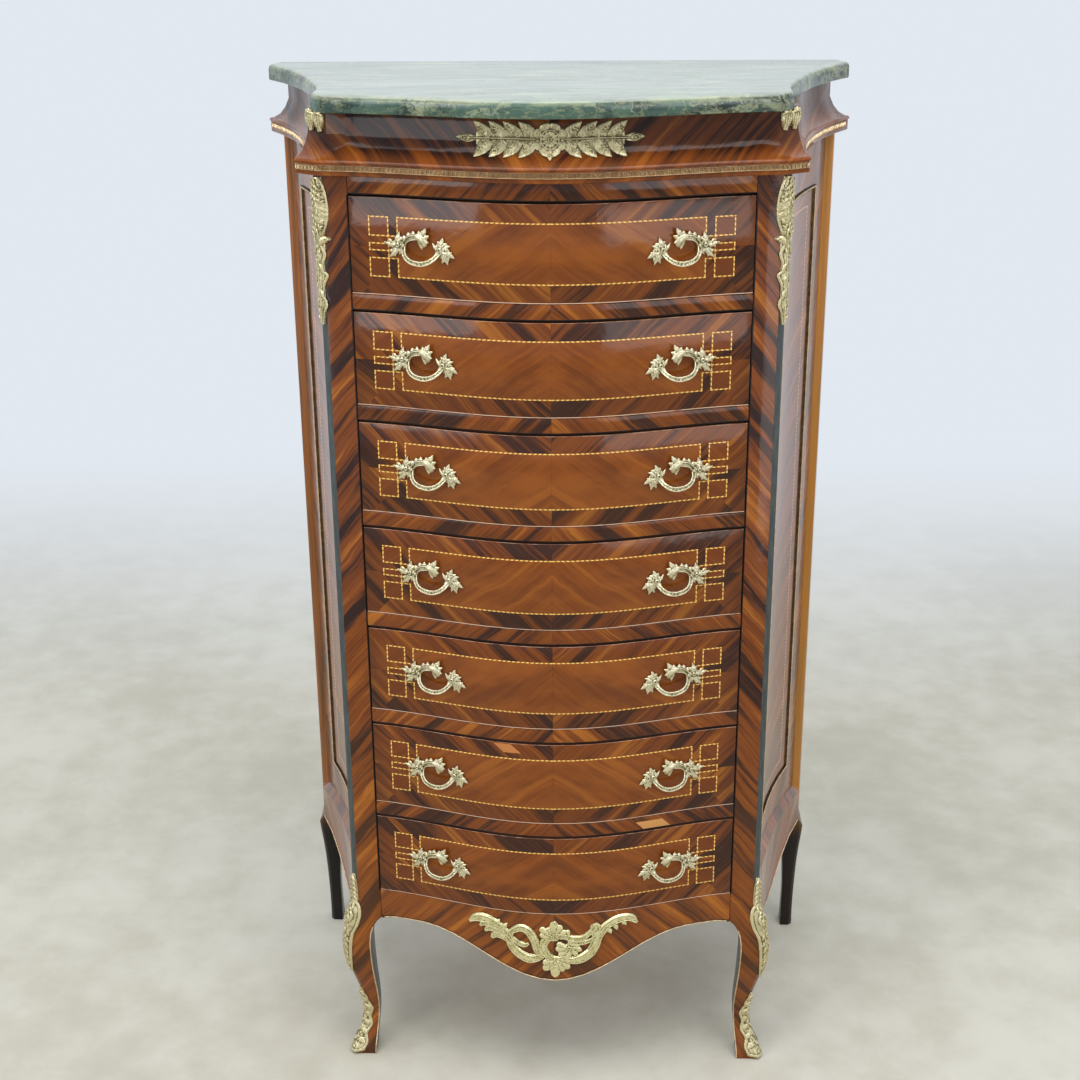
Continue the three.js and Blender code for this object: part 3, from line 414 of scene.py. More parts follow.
def drawer_material(index):
    """Border, field and squares of one drawer front, parted by dashed stringing."""
    shader = Shader(f"drawer_veneer_{index}")
    x, y, z = shader.place()
    v = z - drawer_middle(index)
    a, b, above = abs(x), abs(v), v > 0
    seed = index * 13.37
    s = STRING
    across, along = turned(a, v, 44)
    flank = (a - b * 0.9) > FLANK
    border = figure(shader, across, along, (x > 0) * 3.7 + seed + above * 2.9 + flank * 5.1, 0.86)
    border = shader.blend(a.ramp(*BORDER_END) * 0.3, border, DARK)
    across, along = turned(a, v, -38)
    field = figure(shader, across * 0.8, along, seed + 40.2, 0.2)
    cloud = shader.noise(a * 16 + v * 12, z * 30, seed + 51.0, detail=4)
    field = shader.blend(cloud.ramp(0.36, 0.68) * 0.5, field, FIELD_GOLD)
    square = figure(shader, across, along, seed + 80.0 + above * 3.0, 0.1)
    square = shader.blend(0.4, square, RUSSET)
    in_field = ((a < s["field"]) * (b < s["top"])).most((a < s["inner"]) * (b < s["key"]))
    in_square = between(a, (s["inner"], s["outer"])) * (b < s["top"])
    in_square = in_square * (b > s["key"]).most(b < s["slot"])
    shader.tone = shader.blend(0.14, border, DARK)
    shader.lay(in_field, field)
    shader.lay(in_square, square)
    shader.lay((a < SEAM) * SEAM_DARK, DARK)
    if index == MENDED_DRAWER:
        shader.lay(mend(x, v, (-58, 49), (43, 55), 1.1, 11) * 0.8, DRAWER_MEND)
    # Rubbed arrises with a painted highlight along the lower and upper edges
    wear_and_glint = shader.noise(x * 60, y * 60, z * 200, detail=4, rough=0.7)
    shader.lay((v < LOWER_ARRIS) * (wear_and_glint.ramp(0.3, 0.5) * 0.5 + 0.4), WORN_EDGE_AND_HIGHLIGHT)
    shader.lay((v > UPPER_ARRIS) * (wear_and_glint.ramp(0.4, 0.62) * 0.6 + 0.15), WORN_EDGE_AND_HIGHLIGHT)
    line, light = stringing(a, b, v)
    shader.lay(line, STRING_BROWN)
    shader.lay(light, CREAM)
    return lacquered(shader)


def bronze_material(name, light, middle, deep, rough):
    """Cast bronze: a painted highlight on what stands proud, dirt with painted shade in its hollows, and
    painted contact shade near its seat.
    """
    shader = Shader(name, Metallic=1.0)
    x, y, z = shader.place()
    cloud = shader.noise(x * 130, y * 130, z * 130, detail=4, rough=0.6)
    speck = shader.noise(x * 900, y * 900, z * 900)
    hollow = shader.node("ShaderNodeAttribute", {"attribute_name": "hollow"}, out="Fac")
    grime_and_shade = (hollow + (cloud - 0.5) * 0.25).ramp(0.02, 0.5)
    shader.tone = shader.blend((cloud * 0.7 + speck * 0.3).ramp(0.36, 0.6), colour(*light), colour(*middle))
    # Painted highlight on the crests
    shader.lay((hollow + cloud * 0.3).ramp(0.3, -0.12) * 0.6, colour(*light))
    # Dirt and painted shade in the hollows and near the seat
    shader.lay(grime_and_shade * 0.78, colour(*deep))
    return shader.finished(cloud.ramp(0.2, 0.8) * 0.14 + grime_and_shade * 0.3 + rough, speck, 0.00015)


def marble_material():
    """Dark green marble with clouds and cream veins along the slab, a painted sheen on its upper face and a
    painted highlight on its upper arris.
    """
    shader = Shader("green_marble")
    x, y, z = shader.place()
    wander = shader.noise(x * 7, y * 9, z * 9, detail=5, rough=0.62) - 0.5
    mass = shader.noise(x * 10 + wander * 2.2, y * 26 + wander * 2.2, z * 34, detail=6, rough=0.64)
    vein = shader.noise(x * 5 + wander * 3, y * 19 + wander * 3, z * 16, detail=6, rough=0.62)
    thread = shader.noise(x * 22 + wander * 4, y * 60 + wander * 3, z * 55, detail=5, rough=0.68)
    fleck = shader.noise(x * 90, y * 150, z * 120, detail=4, rough=0.7)
    shader.tone = shader.blend(mass.ramp(0.36, 0.64), colour(17, 36, 36), colour(72, 99, 86))
    shader.lay(fleck.ramp(0.5, 0.68) * 0.38, colour(132, 146, 116))
    shader.lay(abs(vein - 0.5).ramp(0.045, 0.0) * 0.42, colour(180, 186, 152))
    shader.lay(abs(thread - 0.5).ramp(0.026, 0.0) * 0.36, colour(166, 166, 118))
    # Painted sheen laid over the upper face, and a painted highlight along the upper arris
    smear = shader.noise(x * 9 + wander, y * 44 + wander * 2, z, detail=5, rough=0.65)
    top_sheen = shader.blend(smear.ramp(0.3, 0.6) * 0.2 + 0.6, shader.tone, colour(166, 172, 164))
    top_sheen = shader.blend(smear.ramp(0.56, 0.72) * 0.35, top_sheen, colour(204, 202, 180))
    shader.lay(z.ramp(*SLAB_TOP_SHEEN), top_sheen)
    arris = (z.ramp(*ARRIS_FOOT) - z.ramp(*ARRIS_TOP)).most(0)
    shader.lay(arris * (smear.ramp(0.4, 0.62) * 0.34 + 0.06), colour(170, 173, 138))
    grain = shader.noise(x * 300, y * 300, z * 300)
    return shader.finished(grain.ramp(0.2, 0.8) * 0.12 + 0.16, mass, 0.00015)


def plain_wood_material(name, light, dark, fibres, rough=0.5):
    """Straight-grained wood for linings, back boards and the edges of the drawer fronts."""
    shader = Shader(name)
    x, y, z = shader.place()
    kx, ky, kz = fibres
    broad = shader.noise(x * kx / 5, y * ky / 5, z * kz / 5, detail=4, rough=0.6)
    fine = shader.noise(x * kx, y * ky, z * kz, detail=4, rough=0.65)
    shader.tone = shader.blend((broad * 0.6 + fine * 0.4).ramp(0.35, 0.65), colour(*light), colour(*dark))
    return shader.finished(fine.ramp(0.3, 0.7) * 0.15 + rough, fine, 0.0002)


def stile_material():
    """Rear stiles: amber veneer with upright grain, more golden on the right as painted light, and a leg
    that darkens to the floor.
    """
    shader = Shader("amber_stile")
    x, y, z = shader.place()
    shader.tone = figure(shader, abs(x) * 0.8 + y * 0.7, z * 0.8, 61.0, 0.9)
    # Some gold on both stiles, and more on the right one as painted light
    shader.lay((x > 0) * 0.3 + 0.1, STILE_GOLD)
    ragged = (shader.noise(x * 30, y * 30, z * 9) - 0.5) * 0.09
    shader.lay((z + ragged).ramp(*BLACKENED) * 0.97, FOOT_BLACK)
    return lacquered(shader)


def side_material():
    """Side veneer: upright figure inside the bead frame, slanting outside it, fine stringing, a painted
    shadow beside the bead, and a pale painted reflection over all.
    """
    shader = Shader("side_veneer")
    _, y, z = shader.place()
    f = FRAME
    half_wide = (f["rear"] - f["front"]) / 2
    half_high = (f["high"] - f["low"]) / 2
    a = y - (f["rear"] + f["front"]) / 2
    v = z - (f["high"] + f["low"]) / 2
    inside = (abs(a) < half_wide) * (abs(v) < half_high)
    across, along = turned(a, v, 50)
    border = figure(shader, across, along, 71.0, 0.9)
    across, along = turned(abs(a), v, 22)
    field = figure(shader, across, along, (a > 0) * 4.0 + 77.0, 0.6)
    shader.tone = shader.blend(inside, border, field)
    edge = (abs(a) - half_wide).most(abs(v) - half_high)
    shader.lay((abs(edge + f["bead"] / 2) < FRAME_SHADOW_HALF) * 0.9, DARK)
    string = abs(edge + SIDE_STRING_IN) < SIDE_STRING_HALF
    shader.lay(string, STRING_BROWN)
    shader.lay(string * (((a + v) / DASH).fract() < DASH_LIGHT), CREAM)
    # Pale painted reflection of the bright room over the whole side
    shader.lay(0.16, SIDE_REFLECTION_PALE)
    return lacquered(shader, 0.78)


def painted_strip_material():
    """Dark paint on the cant of the front posts, worn through here and there."""
    shader = Shader("dark_cant", Coat_Weight=0.3, Coat_Roughness=0.1)
    x, y, z = shader.place()
    wear = shader.noise(x * 260, y * 260, z * 40, detail=4, rough=0.7)
    shader.tone = shader.blend(wear.ramp(0.35, 0.7), colour(34, 42, 42), colour(60, 70, 68))
    shader.lay(wear.ramp(0.68, 0.8) * 0.6, colour(150, 128, 92))
    return shader.finished(wear * 0.3 + 0.25, wear, 0.0001)


veneer_rail = rail_material()
veneer_post = post_material()
veneer_apron = apron_material()
veneer_cornice = cornice_material()
veneer_stile = stile_material()
veneer_side = side_material()
painted_strip = painted_strip_material()
marble = marble_material()

# Bronzes: bright, middle and deep colour, and roughness
BRONZES = {
    "gilt_bronze": ((240, 233, 186), (202, 191, 138), (92, 82, 50), 0.3),
    "pull_bronze": ((226, 218, 186), (182, 171, 132), (80, 70, 46), 0.3),
    "worn_bronze": ((222, 211, 170), (178, 166, 124), (92, 79, 52), 0.34),
    # Duller grey bronze, darkened as painted shade for the frieze mount under the slab
    "grey_bronze_and_shade": ((184, 174, 138), (148, 138, 104), (84, 78, 56), 0.38),
    # Dark brass, darkened further as painted shade beside the pearls on the bead frames and the apron's edge
    "aged_brass_and_shade": ((98, 76, 48), (66, 50, 32), (30, 22, 14), 0.42),
    "band_brass": ((232, 210, 174), (198, 172, 136), (96, 70, 46), 0.38),
    "band_ground": ((132, 104, 74), (104, 78, 52), (60, 42, 28), 0.45),
}
bronze = {name: bronze_material(name, *finish) for name, finish in BRONZES.items()}

# Plain woods: light and dark colour, how fine the fibres are along x, y and z, and roughness
WOODS = {
    "drawer_lining": ((182, 142, 92), (140, 98, 56), (220, 12, 220), 0.5),
    "stained_edges": ((104, 58, 32), (70, 36, 22), (12, 220, 220), 0.35),
    "back_boards": ((140, 104, 66), (98, 66, 40), (220, 220, 10), 0.65),
}
wood = {name: plain_wood_material(name, *finish) for name, finish in WOODS.items()}


def select_only(piece):
    bpy.ops.object.select_all(action="DESELECT")
    piece.select_set(True)
    bpy.context.view_layer.objects.active = piece


def apply_all(piece):
    select_only(piece)
    for modifier in list(piece.modifiers):
        bpy.ops.object.modifier_apply(modifier=modifier.name)


def smooth(piece, degrees):
    select_only(piece)
    bpy.ops.object.shade_smooth_by_angle(angle=math.radians(degrees))


def finish_piece(piece, material, body, slot, *nodes):
    piece.data.materials.clear()
    piece.data.materials.append(material)
    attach(piece, body)
    if nodes:
        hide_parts(*nodes)
    return piece


def worked_copy(node):
    """A node's own shape with its loose triangles joined, to be refined."""
    piece = linked(node + "_fine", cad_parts[node].data.copy())
    select_only(piece)
    bpy.ops.object.mode_set(mode="EDIT")
    bpy.ops.mesh.select_all(action="SELECT")
    bpy.ops.mesh.remove_doubles(threshold=2e-6)
    bpy.ops.mesh.dissolve_limited(angle_limit=math.radians(0.3))
    bpy.ops.object.mode_set(mode="OBJECT")
    return piece


def eased(node, material, slot, width=0.8 * MM, body="case", angle=32):
    """A node's shape with its arrises eased and its curves smooth."""
    piece = worked_copy(node)
    bevel = piece.modifiers.new("ease", "BEVEL")
    bevel.width = width
    bevel.segments = 2
    bevel.limit_method = "ANGLE"
    bevel.angle_limit = math.radians(angle)
    apply_all(piece)
    smooth(piece, angle)
    return finish_piece(piece, material, body, slot, node)


def paint_faces(piece, material, chosen):
    """Gives the faces that chosen picks, by the place and way of each, another finish."""
    piece.data.materials.append(material)
    slot = len(piece.data.materials) - 1
    for face in piece.data.polygons:
        if chosen(face.center, face.normal):
            face.material_index = slot


def share_of(value, start, run):
    """How far a value has come along a run, from 0 to 1."""
    return min(max((value - start) / run, 0), 1)


# Front corners of the slab: where they start, and how far they move in and forward
SLAB_CORNER = 235 * MM
SLAB_FRONT = -95 * MM
CORNER_IN = 8 * MM
CORNER_OUT = 7 * MM


def make_slab():
    """The slab, its front corners drawn in and a little forward."""
    slab = eased("marble_top", marble, "marble", 2 * MM, angle=50)
    for vertex in slab.data.vertices:
        place = vertex.co
        outer = share_of(abs(place.x), SLAB_CORNER, 30 * MM)
        ahead = share_of(-place.y, -30 * MM, 110 * MM)
        place.x -= math.copysign(CORNER_IN, place.x) * ahead * ahead * (3 - 2 * ahead) * outer
        if place.y < SLAB_FRONT:
            place.y -= CORNER_OUT * outer * share_of(abs(place.x), SLAB_CORNER, 38 * MM)


def on_bead(place, way):
    """Faces of the apron's edge that stand ahead of the wave."""
    return place.y < front_y(place.x) - 0.5 * MM


def on_cant(place, way):
    """Upright faces that look half outwards, half to the front."""
    return abs(way.x) - way.y > 1.36 and abs(way.z) < 0.3


def inside_leg(place, way):
    """Faces of a leg that look to the middle."""
    return way.x * place.x < -0.7 * abs(place.x) and place.z < 215 * MM


def on_edge(place, way):
    """Edges and back of a drawer front."""
    return max(abs(way.x), abs(way.z), way.y) > 0.9


def make_case():
    eased("cornice", veneer_cornice, "rosewood", 0.3 * MM)
    eased("case_top", veneer_rail, "rosewood")
    for i in range(1, DRAWERS):
        eased(f"divider_{i}", veneer_rail, "rosewood")
    apron = eased("apron", veneer_apron, "rosewood")
    # Dark brass on the apron's bead, darkened as painted shade beside its pearls
    paint_faces(apron, bronze["aged_brass_and_shade"], on_bead)
    for hand, _ in HANDS:
        post = eased(f"{hand}_front_post", veneer_post, "rosewood")
        paint_faces(post, painted_strip, on_cant)
        paint_faces(post, painted_strip, inside_leg)
        eased(f"{hand}_side", veneer_side, "rosewood")
        eased(f"{hand}_rear_post", veneer_stile, "dark_wood")


def make_drawer_fronts():
    for i in range(1, DRAWERS + 1):
        front = eased(f"drawer_front_{i}", drawer_material(i), "rosewood", body=f"drawer_{i}")
        paint_faces(front, wood["stained_edges"], on_edge)


def finish_solids():
    """Finishes for the solids, of which the linings, the back and the bead frames show."""
    for name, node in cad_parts.items():
        if name.startswith("drawer_box") or name == "bottom_frame":
            skin = wood["drawer_lining"]
        elif name == "back_panel":
            skin = wood["back_boards"]
        elif name.endswith("bead_frame"):
            # Dark brass, darkened as painted shade beside the pearls
            skin = bronze["aged_brass_and_shade"]
        else:
            skin = bronze["gilt_bronze"]
        node.data.materials.clear()
        node.data.materials.append(skin)


make_slab()
make_case()
make_drawer_fronts()
finish_solids()


# Castings: swept strokes joined into one skin, then laid on the wood that carries them

# Millimetres: thinnest stroke, lowest point of the skin, height below which painted contact shade lies,
# deepest hollow; easings
THINNEST = 0.15
SEAT = 0.3
SEAT_SHADE_BELOW = 1.1
DEEPEST = 0.55
EASINGS = 7


def curve_through(rows, steps):
    """Rows of numbers with more rows between them, on a curve through all of them."""
    rows = [tuple(r) for r in rows]
    if len(rows) == 2:
        a, b = rows
        return [tuple(p + (q - p) * i / steps for p, q in zip(a, b)) for i in range(steps + 1)]
    ends = [tuple(2 * p - q for p, q in zip(rows[0], rows[1]))]
    ends += rows + [tuple(2 * p - q for p, q in zip(rows[-1], rows[-2]))]
    out = []
    for k in range(1, len(ends) - 2):
        a, b, c, d = ends[k - 1 : k + 3]
        for i in range(steps):
            t = i / steps
            row = []
            for p, q, r, s in zip(a, b, c, d):
                bend = (2 * p - 5 * q + 4 * r - s) * t * t + (3 * q - p - 3 * r + s) * t**3
                row.append(0.5 * (2 * q + (r - p) * t + bend))
            out.append(tuple(row))
    return out + [rows[-1]]


def neighbours(rows, k):
    """The rows before and after row k, or the row itself at an end."""
    return rows[max(k - 1, 0)], rows[min(k + 1, len(rows) - 1)]


def skin_over(mesh, rings):
    """Faces from ring to ring, closed at both ends."""
    for a, b in zip(rings, rings[1:]):
        for i in range(len(a)):
            j = (i + 1) % len(a)
            mesh.faces.new((a[i], a[j], b[j], b[i]))
    mesh.faces.new(rings[0][::-1])
    mesh.faces.new(rings[-1])


def sweep(mesh, rows, sides=10, steps=4):
    """A stroke: rows of along, up, off, half width and half height, in millimetres."""
    rows = [row if len(row) == 5 else (*row, row[3]) for row in rows]
    fine = curve_through(rows, steps)
    rings = []
    for k, (u, v, w, wide, high) in enumerate(fine):
        before, after = neighbours(fine, k)
        way = Vector([q - p for p, q in zip(before[:3], after)]).normalized()
        across = Vector((way.y, -way.x, 0))
        across = across.normalized() if across.length > 1e-4 else Vector((1, 0, 0))
        over = way.cross(across).normalized()
        ring = []
        for i in range(sides):
            turn = 2 * math.pi * i / sides
            point = Vector((u, v, w)) + across * math.cos(turn) * max(wide, THINNEST)
            point += over * math.sin(turn) * max(high, THINNEST)
            ring.append(mesh.verts.new(point))
        rings.append(ring)
    skin_over(mesh, rings)


# Outlines of a leaf: shares of its length, and of its width and height there
LEAF_OUTLINES = {
    "leaf": ((0, 0.45), (0.25, 0.85), (0.5, 1.0), (0.75, 0.68), (0.92, 0.3), (1.0, 0.05)),
    "blunt": ((0, 0.5), (0.3, 0.8), (0.6, 1.0), (0.82, 0.94), (0.95, 0.62), (1.0, 0.25)),
    "lobe": ((0, 0.9), (0.28, 1.0), (0.5, 0.86), (0.7, 0.62), (0.87, 0.34), (1.0, 0.05)),
}


def leaf(mesh, root, tip, width, height, off, bend=0.0, veins=True, form="leaf"):
    """A leaf with a raised midrib, from its root to its tip, and side veins on a broad one."""
    (u0, v0), (u1, v1) = root, tip
    du, dv = u1 - u0, v1 - v0
    long = math.hypot(du, dv)

    def at(share, side=0.0):
        lift = bend * math.sin(math.pi * share) + side
        return u0 + du * share - dv / long * lift, v0 + dv * share + du / long * lift

    outline = LEAF_OUTLINES[form]
    sweep(mesh, [(*at(t), off, width / 2 * r, height * (0.4 + 0.6 * r)) for t, r in outline], 10, 3)
    if not veins:
        return
    rib = [(*at(t), off + height * (0.94 - 0.5 * t), 0.6 - 0.3 * t) for t in (0, 0.35, 0.65, 0.85)]
    sweep(mesh, rib, 6, 2)
    if width > 9:
        for t in (0.16, 0.34, 0.52):
            for side in (-1, 1):
                start, end = at(t), at(t + 0.16, side * width * 0.26)
                vein = [(*start, off + height * 0.94, 0.6), (*end, off + height * 0.66, 0.45)]
                sweep(mesh, vein, 6, 2)


def flames(mesh, spots, long, thick, off):
    """Short strokes that lean to and fro, for chased shell work, at one height or on a dome."""
    for k, (u, v) in enumerate(spots):
        turn = math.pi / 2 + 0.75 * math.sin(k * 2.1)
        du, dv = long / 2 * math.cos(turn), long / 2 * math.sin(turn)
        lift = off(u) if callable(off) else off
        start = (u - du, v - dv, lift - 0.5, thick * 0.5)
        end = (u + du, v + dv, lift - 0.5, thick * 0.4)
        sweep(mesh, [start, (u, v, lift, thick), end], 8, 2)


def around(count):
    """Turns of a full circle, the last one back at the first."""
    return [2 * math.pi * i / count for i in range(count + 1)]


def boss(mesh, u, v, radius, top):
    """A round boss with the head of its pin sunk in the middle."""
    sweep(mesh, [(u, v, 0.4, radius), (u, v, top * 0.6, radius), (u, v, top * 0.9, radius * 0.8)], 12, 2)
    rim = radius * 0.6
    ring = [(u + rim * math.cos(a), v + rim * math.sin(a), top, radius * 0.24) for a in around(12)]
    sweep(mesh, ring, 6, 2)


def mark_hollows(piece, depths):
    """Stores how far each point lies below its surroundings, for a painted highlight on crests and dirt with
    painted shade in hollows.
    """
    mesh = piece.data
    count = len(mesh.vertices)

    def read(field):
        numbers = numpy.empty(count * 3)
        mesh.vertices.foreach_get(field, numbers)
        return numbers.reshape(-1, 3)

    places, ways = read("co"), read("normal")
    edges = numpy.empty(len(mesh.edges) * 2, dtype=numpy.int32)
    mesh.edges.foreach_get("vertices", edges)
    first, second = edges.reshape(-1, 2).T
    tally = numpy.bincount(first, minlength=count) + numpy.bincount(second, minlength=count)
    eased_places = places.copy()
    for _ in range(EASINGS):
        total = numpy.zeros_like(places)
        for k in range(3):
            total[:, k] = numpy.bincount(first, eased_places[second, k], count)
            total[:, k] += numpy.bincount(second, eased_places[first, k], count)
        eased_places = total / numpy.maximum(tally, 1)[:, None]
    hollow = ((eased_places - places) * ways).sum(1) / DEEPEST + depths
    layer = mesh.attributes.new("hollow", "FLOAT", "POINT")
    layer.data.foreach_set("value", hollow.astype(numpy.float32))


def turn_out(piece):
    """Merges doubled points and turns the faces outwards."""
    select_only(piece)
    bpy.ops.object.mode_set(mode="EDIT")
    bpy.ops.mesh.select_all(action="SELECT")
    bpy.ops.mesh.remove_doubles(threshold=1e-6)
    bpy.ops.mesh.normals_make_consistent(inside=False)
    bpy.ops.object.mode_set(mode="OBJECT")


def piece_from(name, mesh):
    """Makes drawn faces a piece of the scene, facing outwards."""
    bmesh.ops.recalc_face_normals(mesh, faces=mesh.faces)
    data = bpy.data.meshes.new(name)
    mesh.to_mesh(data)
    mesh.free()
    return linked(name, data)


def casting(name, draw, spot, voxel=0.5, keep=0.35, chase=0.3):
    """Joins the strokes that draw adds, thins the faces, and lays the skin on its carrier."""
    mesh = bmesh.new()
    draw(mesh)
    piece = piece_from(name, mesh)
    remesh = piece.modifiers.new("skin", "REMESH")
    remesh.mode = "VOXEL"
    remesh.voxel_size = voxel
    relax = piece.modifiers.new("relax", "SMOOTH")
    relax.factor = 0.5
    relax.iterations = 1
    apply_all(piece)
    ways = [vertex.normal.copy() for vertex in piece.data.vertices]
    for vertex, way in zip(piece.data.vertices, ways):
        vertex.co += way * chase * noise.noise(vertex.co * 0.55)
        vertex.co.z = max(vertex.co.z, SEAT)
    thin = piece.modifiers.new("thin", "DECIMATE")
    thin.ratio = keep
    apply_all(piece)
    # Points near the seat count as deeper, for painted contact shade
    depths = [max(0.0, SEAT_SHADE_BELOW - vertex.co.z) * 0.3 for vertex in piece.data.vertices]
    mark_hollows(piece, numpy.array(depths))
    for vertex in piece.data.vertices:
        vertex.co = spot(*vertex.co)
    turn_out(piece)
    smooth(piece, 60)
    return piece


def copied(piece, name, change):
    """A copy with its own mesh, each point changed."""
    made = linked(name, piece.data.copy())
    for vertex in made.data.vertices:
        vertex.co = change(vertex.co)
    return made


def mirrored(piece, name):
    made = copied(piece, name, lambda p: Vector((-p.x, p.y, p.z)))
    turn_out(made)
    return made


def moved_aside(points, k, shift):
    """Point k of a line, shifted to one side of it."""
    (a, b, *_), (c, d, *_) = neighbours(points, k)
    long = math.hypot(c - a, d - b)
    return points[k][0] - (d - b) / long * shift, points[k][1] + (c - a) / long * shift


def leaves(mesh, rows, height, off, **shape):
    """Leaves from rows of root, tip and width."""
    for u, v, tip_u, tip_v, width in rows:
        leaf(mesh, (u, v), (tip_u, tip_v), width, height, off, **shape)


# Pulls: a bow with raised rims and a curled arm between two sprays of leaves
def draw_bow(mesh):
    bar = [(-12.3, 2.9, 2), (-10.3, -3.6, 7), (-6, -8.9, 10.6), (0.4, -12.4, 12.4), (7, -13.9, 13)]
    bar += [(14.1, -14, 13), (21.4, -12.2, 12), (27, -8.6, 8.5), (30.4, -4.4, 4), (32.5, -1, 1.5)]
    girth = (2.9, 2.6, 2.5, 2.7, 2.9, 2.8, 2.5, 2.3, 2.3, 2.6)
    sweep(mesh, [(*p, r, r * 0.7) for p, r in zip(bar, girth)])
    for side in (-1, 1):
        rim = []
        for k, r in enumerate(girth):
            rim.append((*moved_aside(bar, k, side * r * 0.78), bar[k][2] + 1.5, 0.9))
        sweep(mesh, rim, 8)


def draw_arm(mesh):
    arm = [(-12.3, 2.9, 2, 3.1), (-9.4, 8.0, 4, 3.1), (-3.9, 13.0, 6, 3.2), (3, 15.2, 7, 3.4)]
    arm += [(9.5, 14.4, 7, 4.6), (14, 10.9, 6.6, 5), (14.6, 6.6, 5.6, 3.6), (11.4, 3.6, 4.2, 1.4)]
    sweep(mesh, [(u, v, w, r, r * 0.7) for u, v, w, r in arm])
    sweep(mesh, [(-13.4, 6.2, 5.5, 0.9), (-8.6, 11.8, 7.4, 0.9), (-2, 16.2, 9, 0.9), (5, 17.2, 9.5, 0.8)], 8)
    sweep(mesh, [(-9.6, 4.2, 5.4, 0.8), (-6, 8.6, 7, 0.8), (-0.6, 11.4, 8.4, 0.8), (5, 12.2, 8.6, 0.8)], 8)
    tips = ((8.4, 22.2, 6), (17.4, 25.6, 7.4), (21.4, 17, 6.6), (20.6, 8.8, 6), (12.2, 0.6, 5.4))
    for u, v, width in tips:
        leaf(mesh, (9.4, 12.4), (u, v), width * 1.3, 2.2, 6.2, form="lobe")
    for k, (u, v) in enumerate(((-9.4, 10.6), (-4.6, 14.6), (0.8, 16.4))):
        leaf(mesh, (u, v), (u - 1.4 + k, v + 5.2), 6.4, 1.8, 5.4, form="lobe")


PULL_LEAVES = (
    ((-18.6, 3), (-17.4, 19), 10.4),
    ((-19, 4.4), (-37, 6.8), 9),
    ((-19, 3), (-31, -11), 9.6),
    ((-15.6, 1), (-18.6, -7.4), 6),
    ((33.6, -1.4), (36.6, 15.2), 11.4),
    ((33.6, -1.6), (50.6, -8), 10),
    ((33.4, -2), (42, -16), 9.6),
    ((32.4, -2), (23.4, 8.8), 6),
    ((35, -1), (45.6, 6.4), 7),
)


def toothed_leaf(mesh, root, tip, width):
    """A broad leaf with a tooth and a chased stroke on each side."""
    leaf(mesh, root, tip, width * 0.88, 2.3, 2.2, bend=1.2, form="lobe")
    du, dv = tip[0] - root[0], tip[1] - root[1]
    u, v = root[0] + du * 0.42, root[1] + dv * 0.42
    spread = width * 0.56 / math.hypot(du, dv)
    for side in (-1, 1):
        out_u, out_v = -side * dv * spread, side * du * spread
        tooth = (u + du * 0.26 + out_u, v + dv * 0.26 + out_v)
        leaf(mesh, (u, v), tooth, width * 0.44, 1.7, 2.3, veins=False)
        flames(mesh, [(u + out_u * 0.3, v + out_v * 0.3)], 4, 0.7, 4.2)


def draw_pull(mesh):
    draw_bow(mesh)
    draw_arm(mesh)
    leaf(mesh, (-12.5, 2.4), (-27, 4.4), 12, 2.4, 1.8, veins=False, form="blunt")
    leaf(mesh, (28, -4.4), (40.5, -2.8), 13, 2.4, 1.8, veins=False, form="blunt")
    for root, tip, width in PULL_LEAVES:
        toothed_leaf(mesh, root, tip, width)
    boss(mesh, -19.4, 4, 3.0, 5)
    boss(mesh, 32.1, 0.8, 3.1, 5)
    sweep(mesh, [(-19.4, 4, 2, 3.6, 1.9), (-12.3, 2.9, 2.4, 4.2, 2.4)], 10, 3)
    sweep(mesh, [(32.1, 0.8, 2, 3.8, 2), (28.4, -6.8, 5, 3.6, 2.6)], 10, 3)
    sweep(mesh, [(-15.6, 0.4, 2.4, 1.3), (-12.4, 3.2, 5.4, 1.5), (-10.6, 7.4, 3.4, 1.3)], 8)


PULL_X = -150 * MM
PULL_MIDDLE = 6.4
PULL_SLANT = math.hypot(1, front_slope(PULL_X))


def pull_spot(u, v, w):
    """Places the left pull of the first drawer on the wave of its front."""
    x = PULL_X + (u - PULL_MIDDLE) * MM / PULL_SLANT
    slope = front_slope(x)
    reach = w * MM / math.hypot(1, slope)
    return Vector((x + slope * reach, front_y(x) - reach, drawer_middle(1) + v * MM))


def make_pulls():
    left = casting("pull_cast", draw_pull, pull_spot, 0.45, 0.3)
    right = mirrored(left, "pull_cast_right")
    for i in range(1, DRAWERS + 1):
        drop = Vector((0, 0, -PITCH * (i - 1)))
        for hand, piece in (("left", left), ("right", right)):
            made = copied(piece, f"bronze_pull_{hand}_{i}", lambda p: p + drop)
            smooth(made, 60)
            finish_piece(made, bronze["pull_bronze"], f"drawer_{i}", "bronze", f"pull_{hand}_{i}")
    for piece in (left, right):
        bpy.data.objects.remove(piece)


# Where a casting lies: found on the piece that carries it
LOOK = 80 * MM


def carrier(node):
    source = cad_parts[node].data
    return BVHTree.FromPolygons([v.co for v in source.vertices], [p.vertices for p in source.polygons])


def laid_on(node, start, along, inward, top):
    """Places at u along, v up and w off a carrier, seen along one level direction."""
    tree = carrier(node)
    along, inward = Vector(along).normalized(), Vector(inward).normalized()

    def spot(u, v, w):
        level = Vector((start[0], start[1], top + v * MM)) + along * u * MM
        hit = tree.ray_cast(level - inward * LOOK, inward, 2 * LOOK)[0]
        if hit is None:
            near = tree.find_nearest(level)[0]
            hit = level + inward * (near - level).dot(inward)
            hit.z = level.z
        return hit - inward * w * MM

    return spot


APRON_MOUNT_Z = 256 * MM


def apron_spot(u, v, w):
    x = u * MM
    return Vector((x, front_y(x) - w * MM, APRON_MOUNT_Z + v * MM))


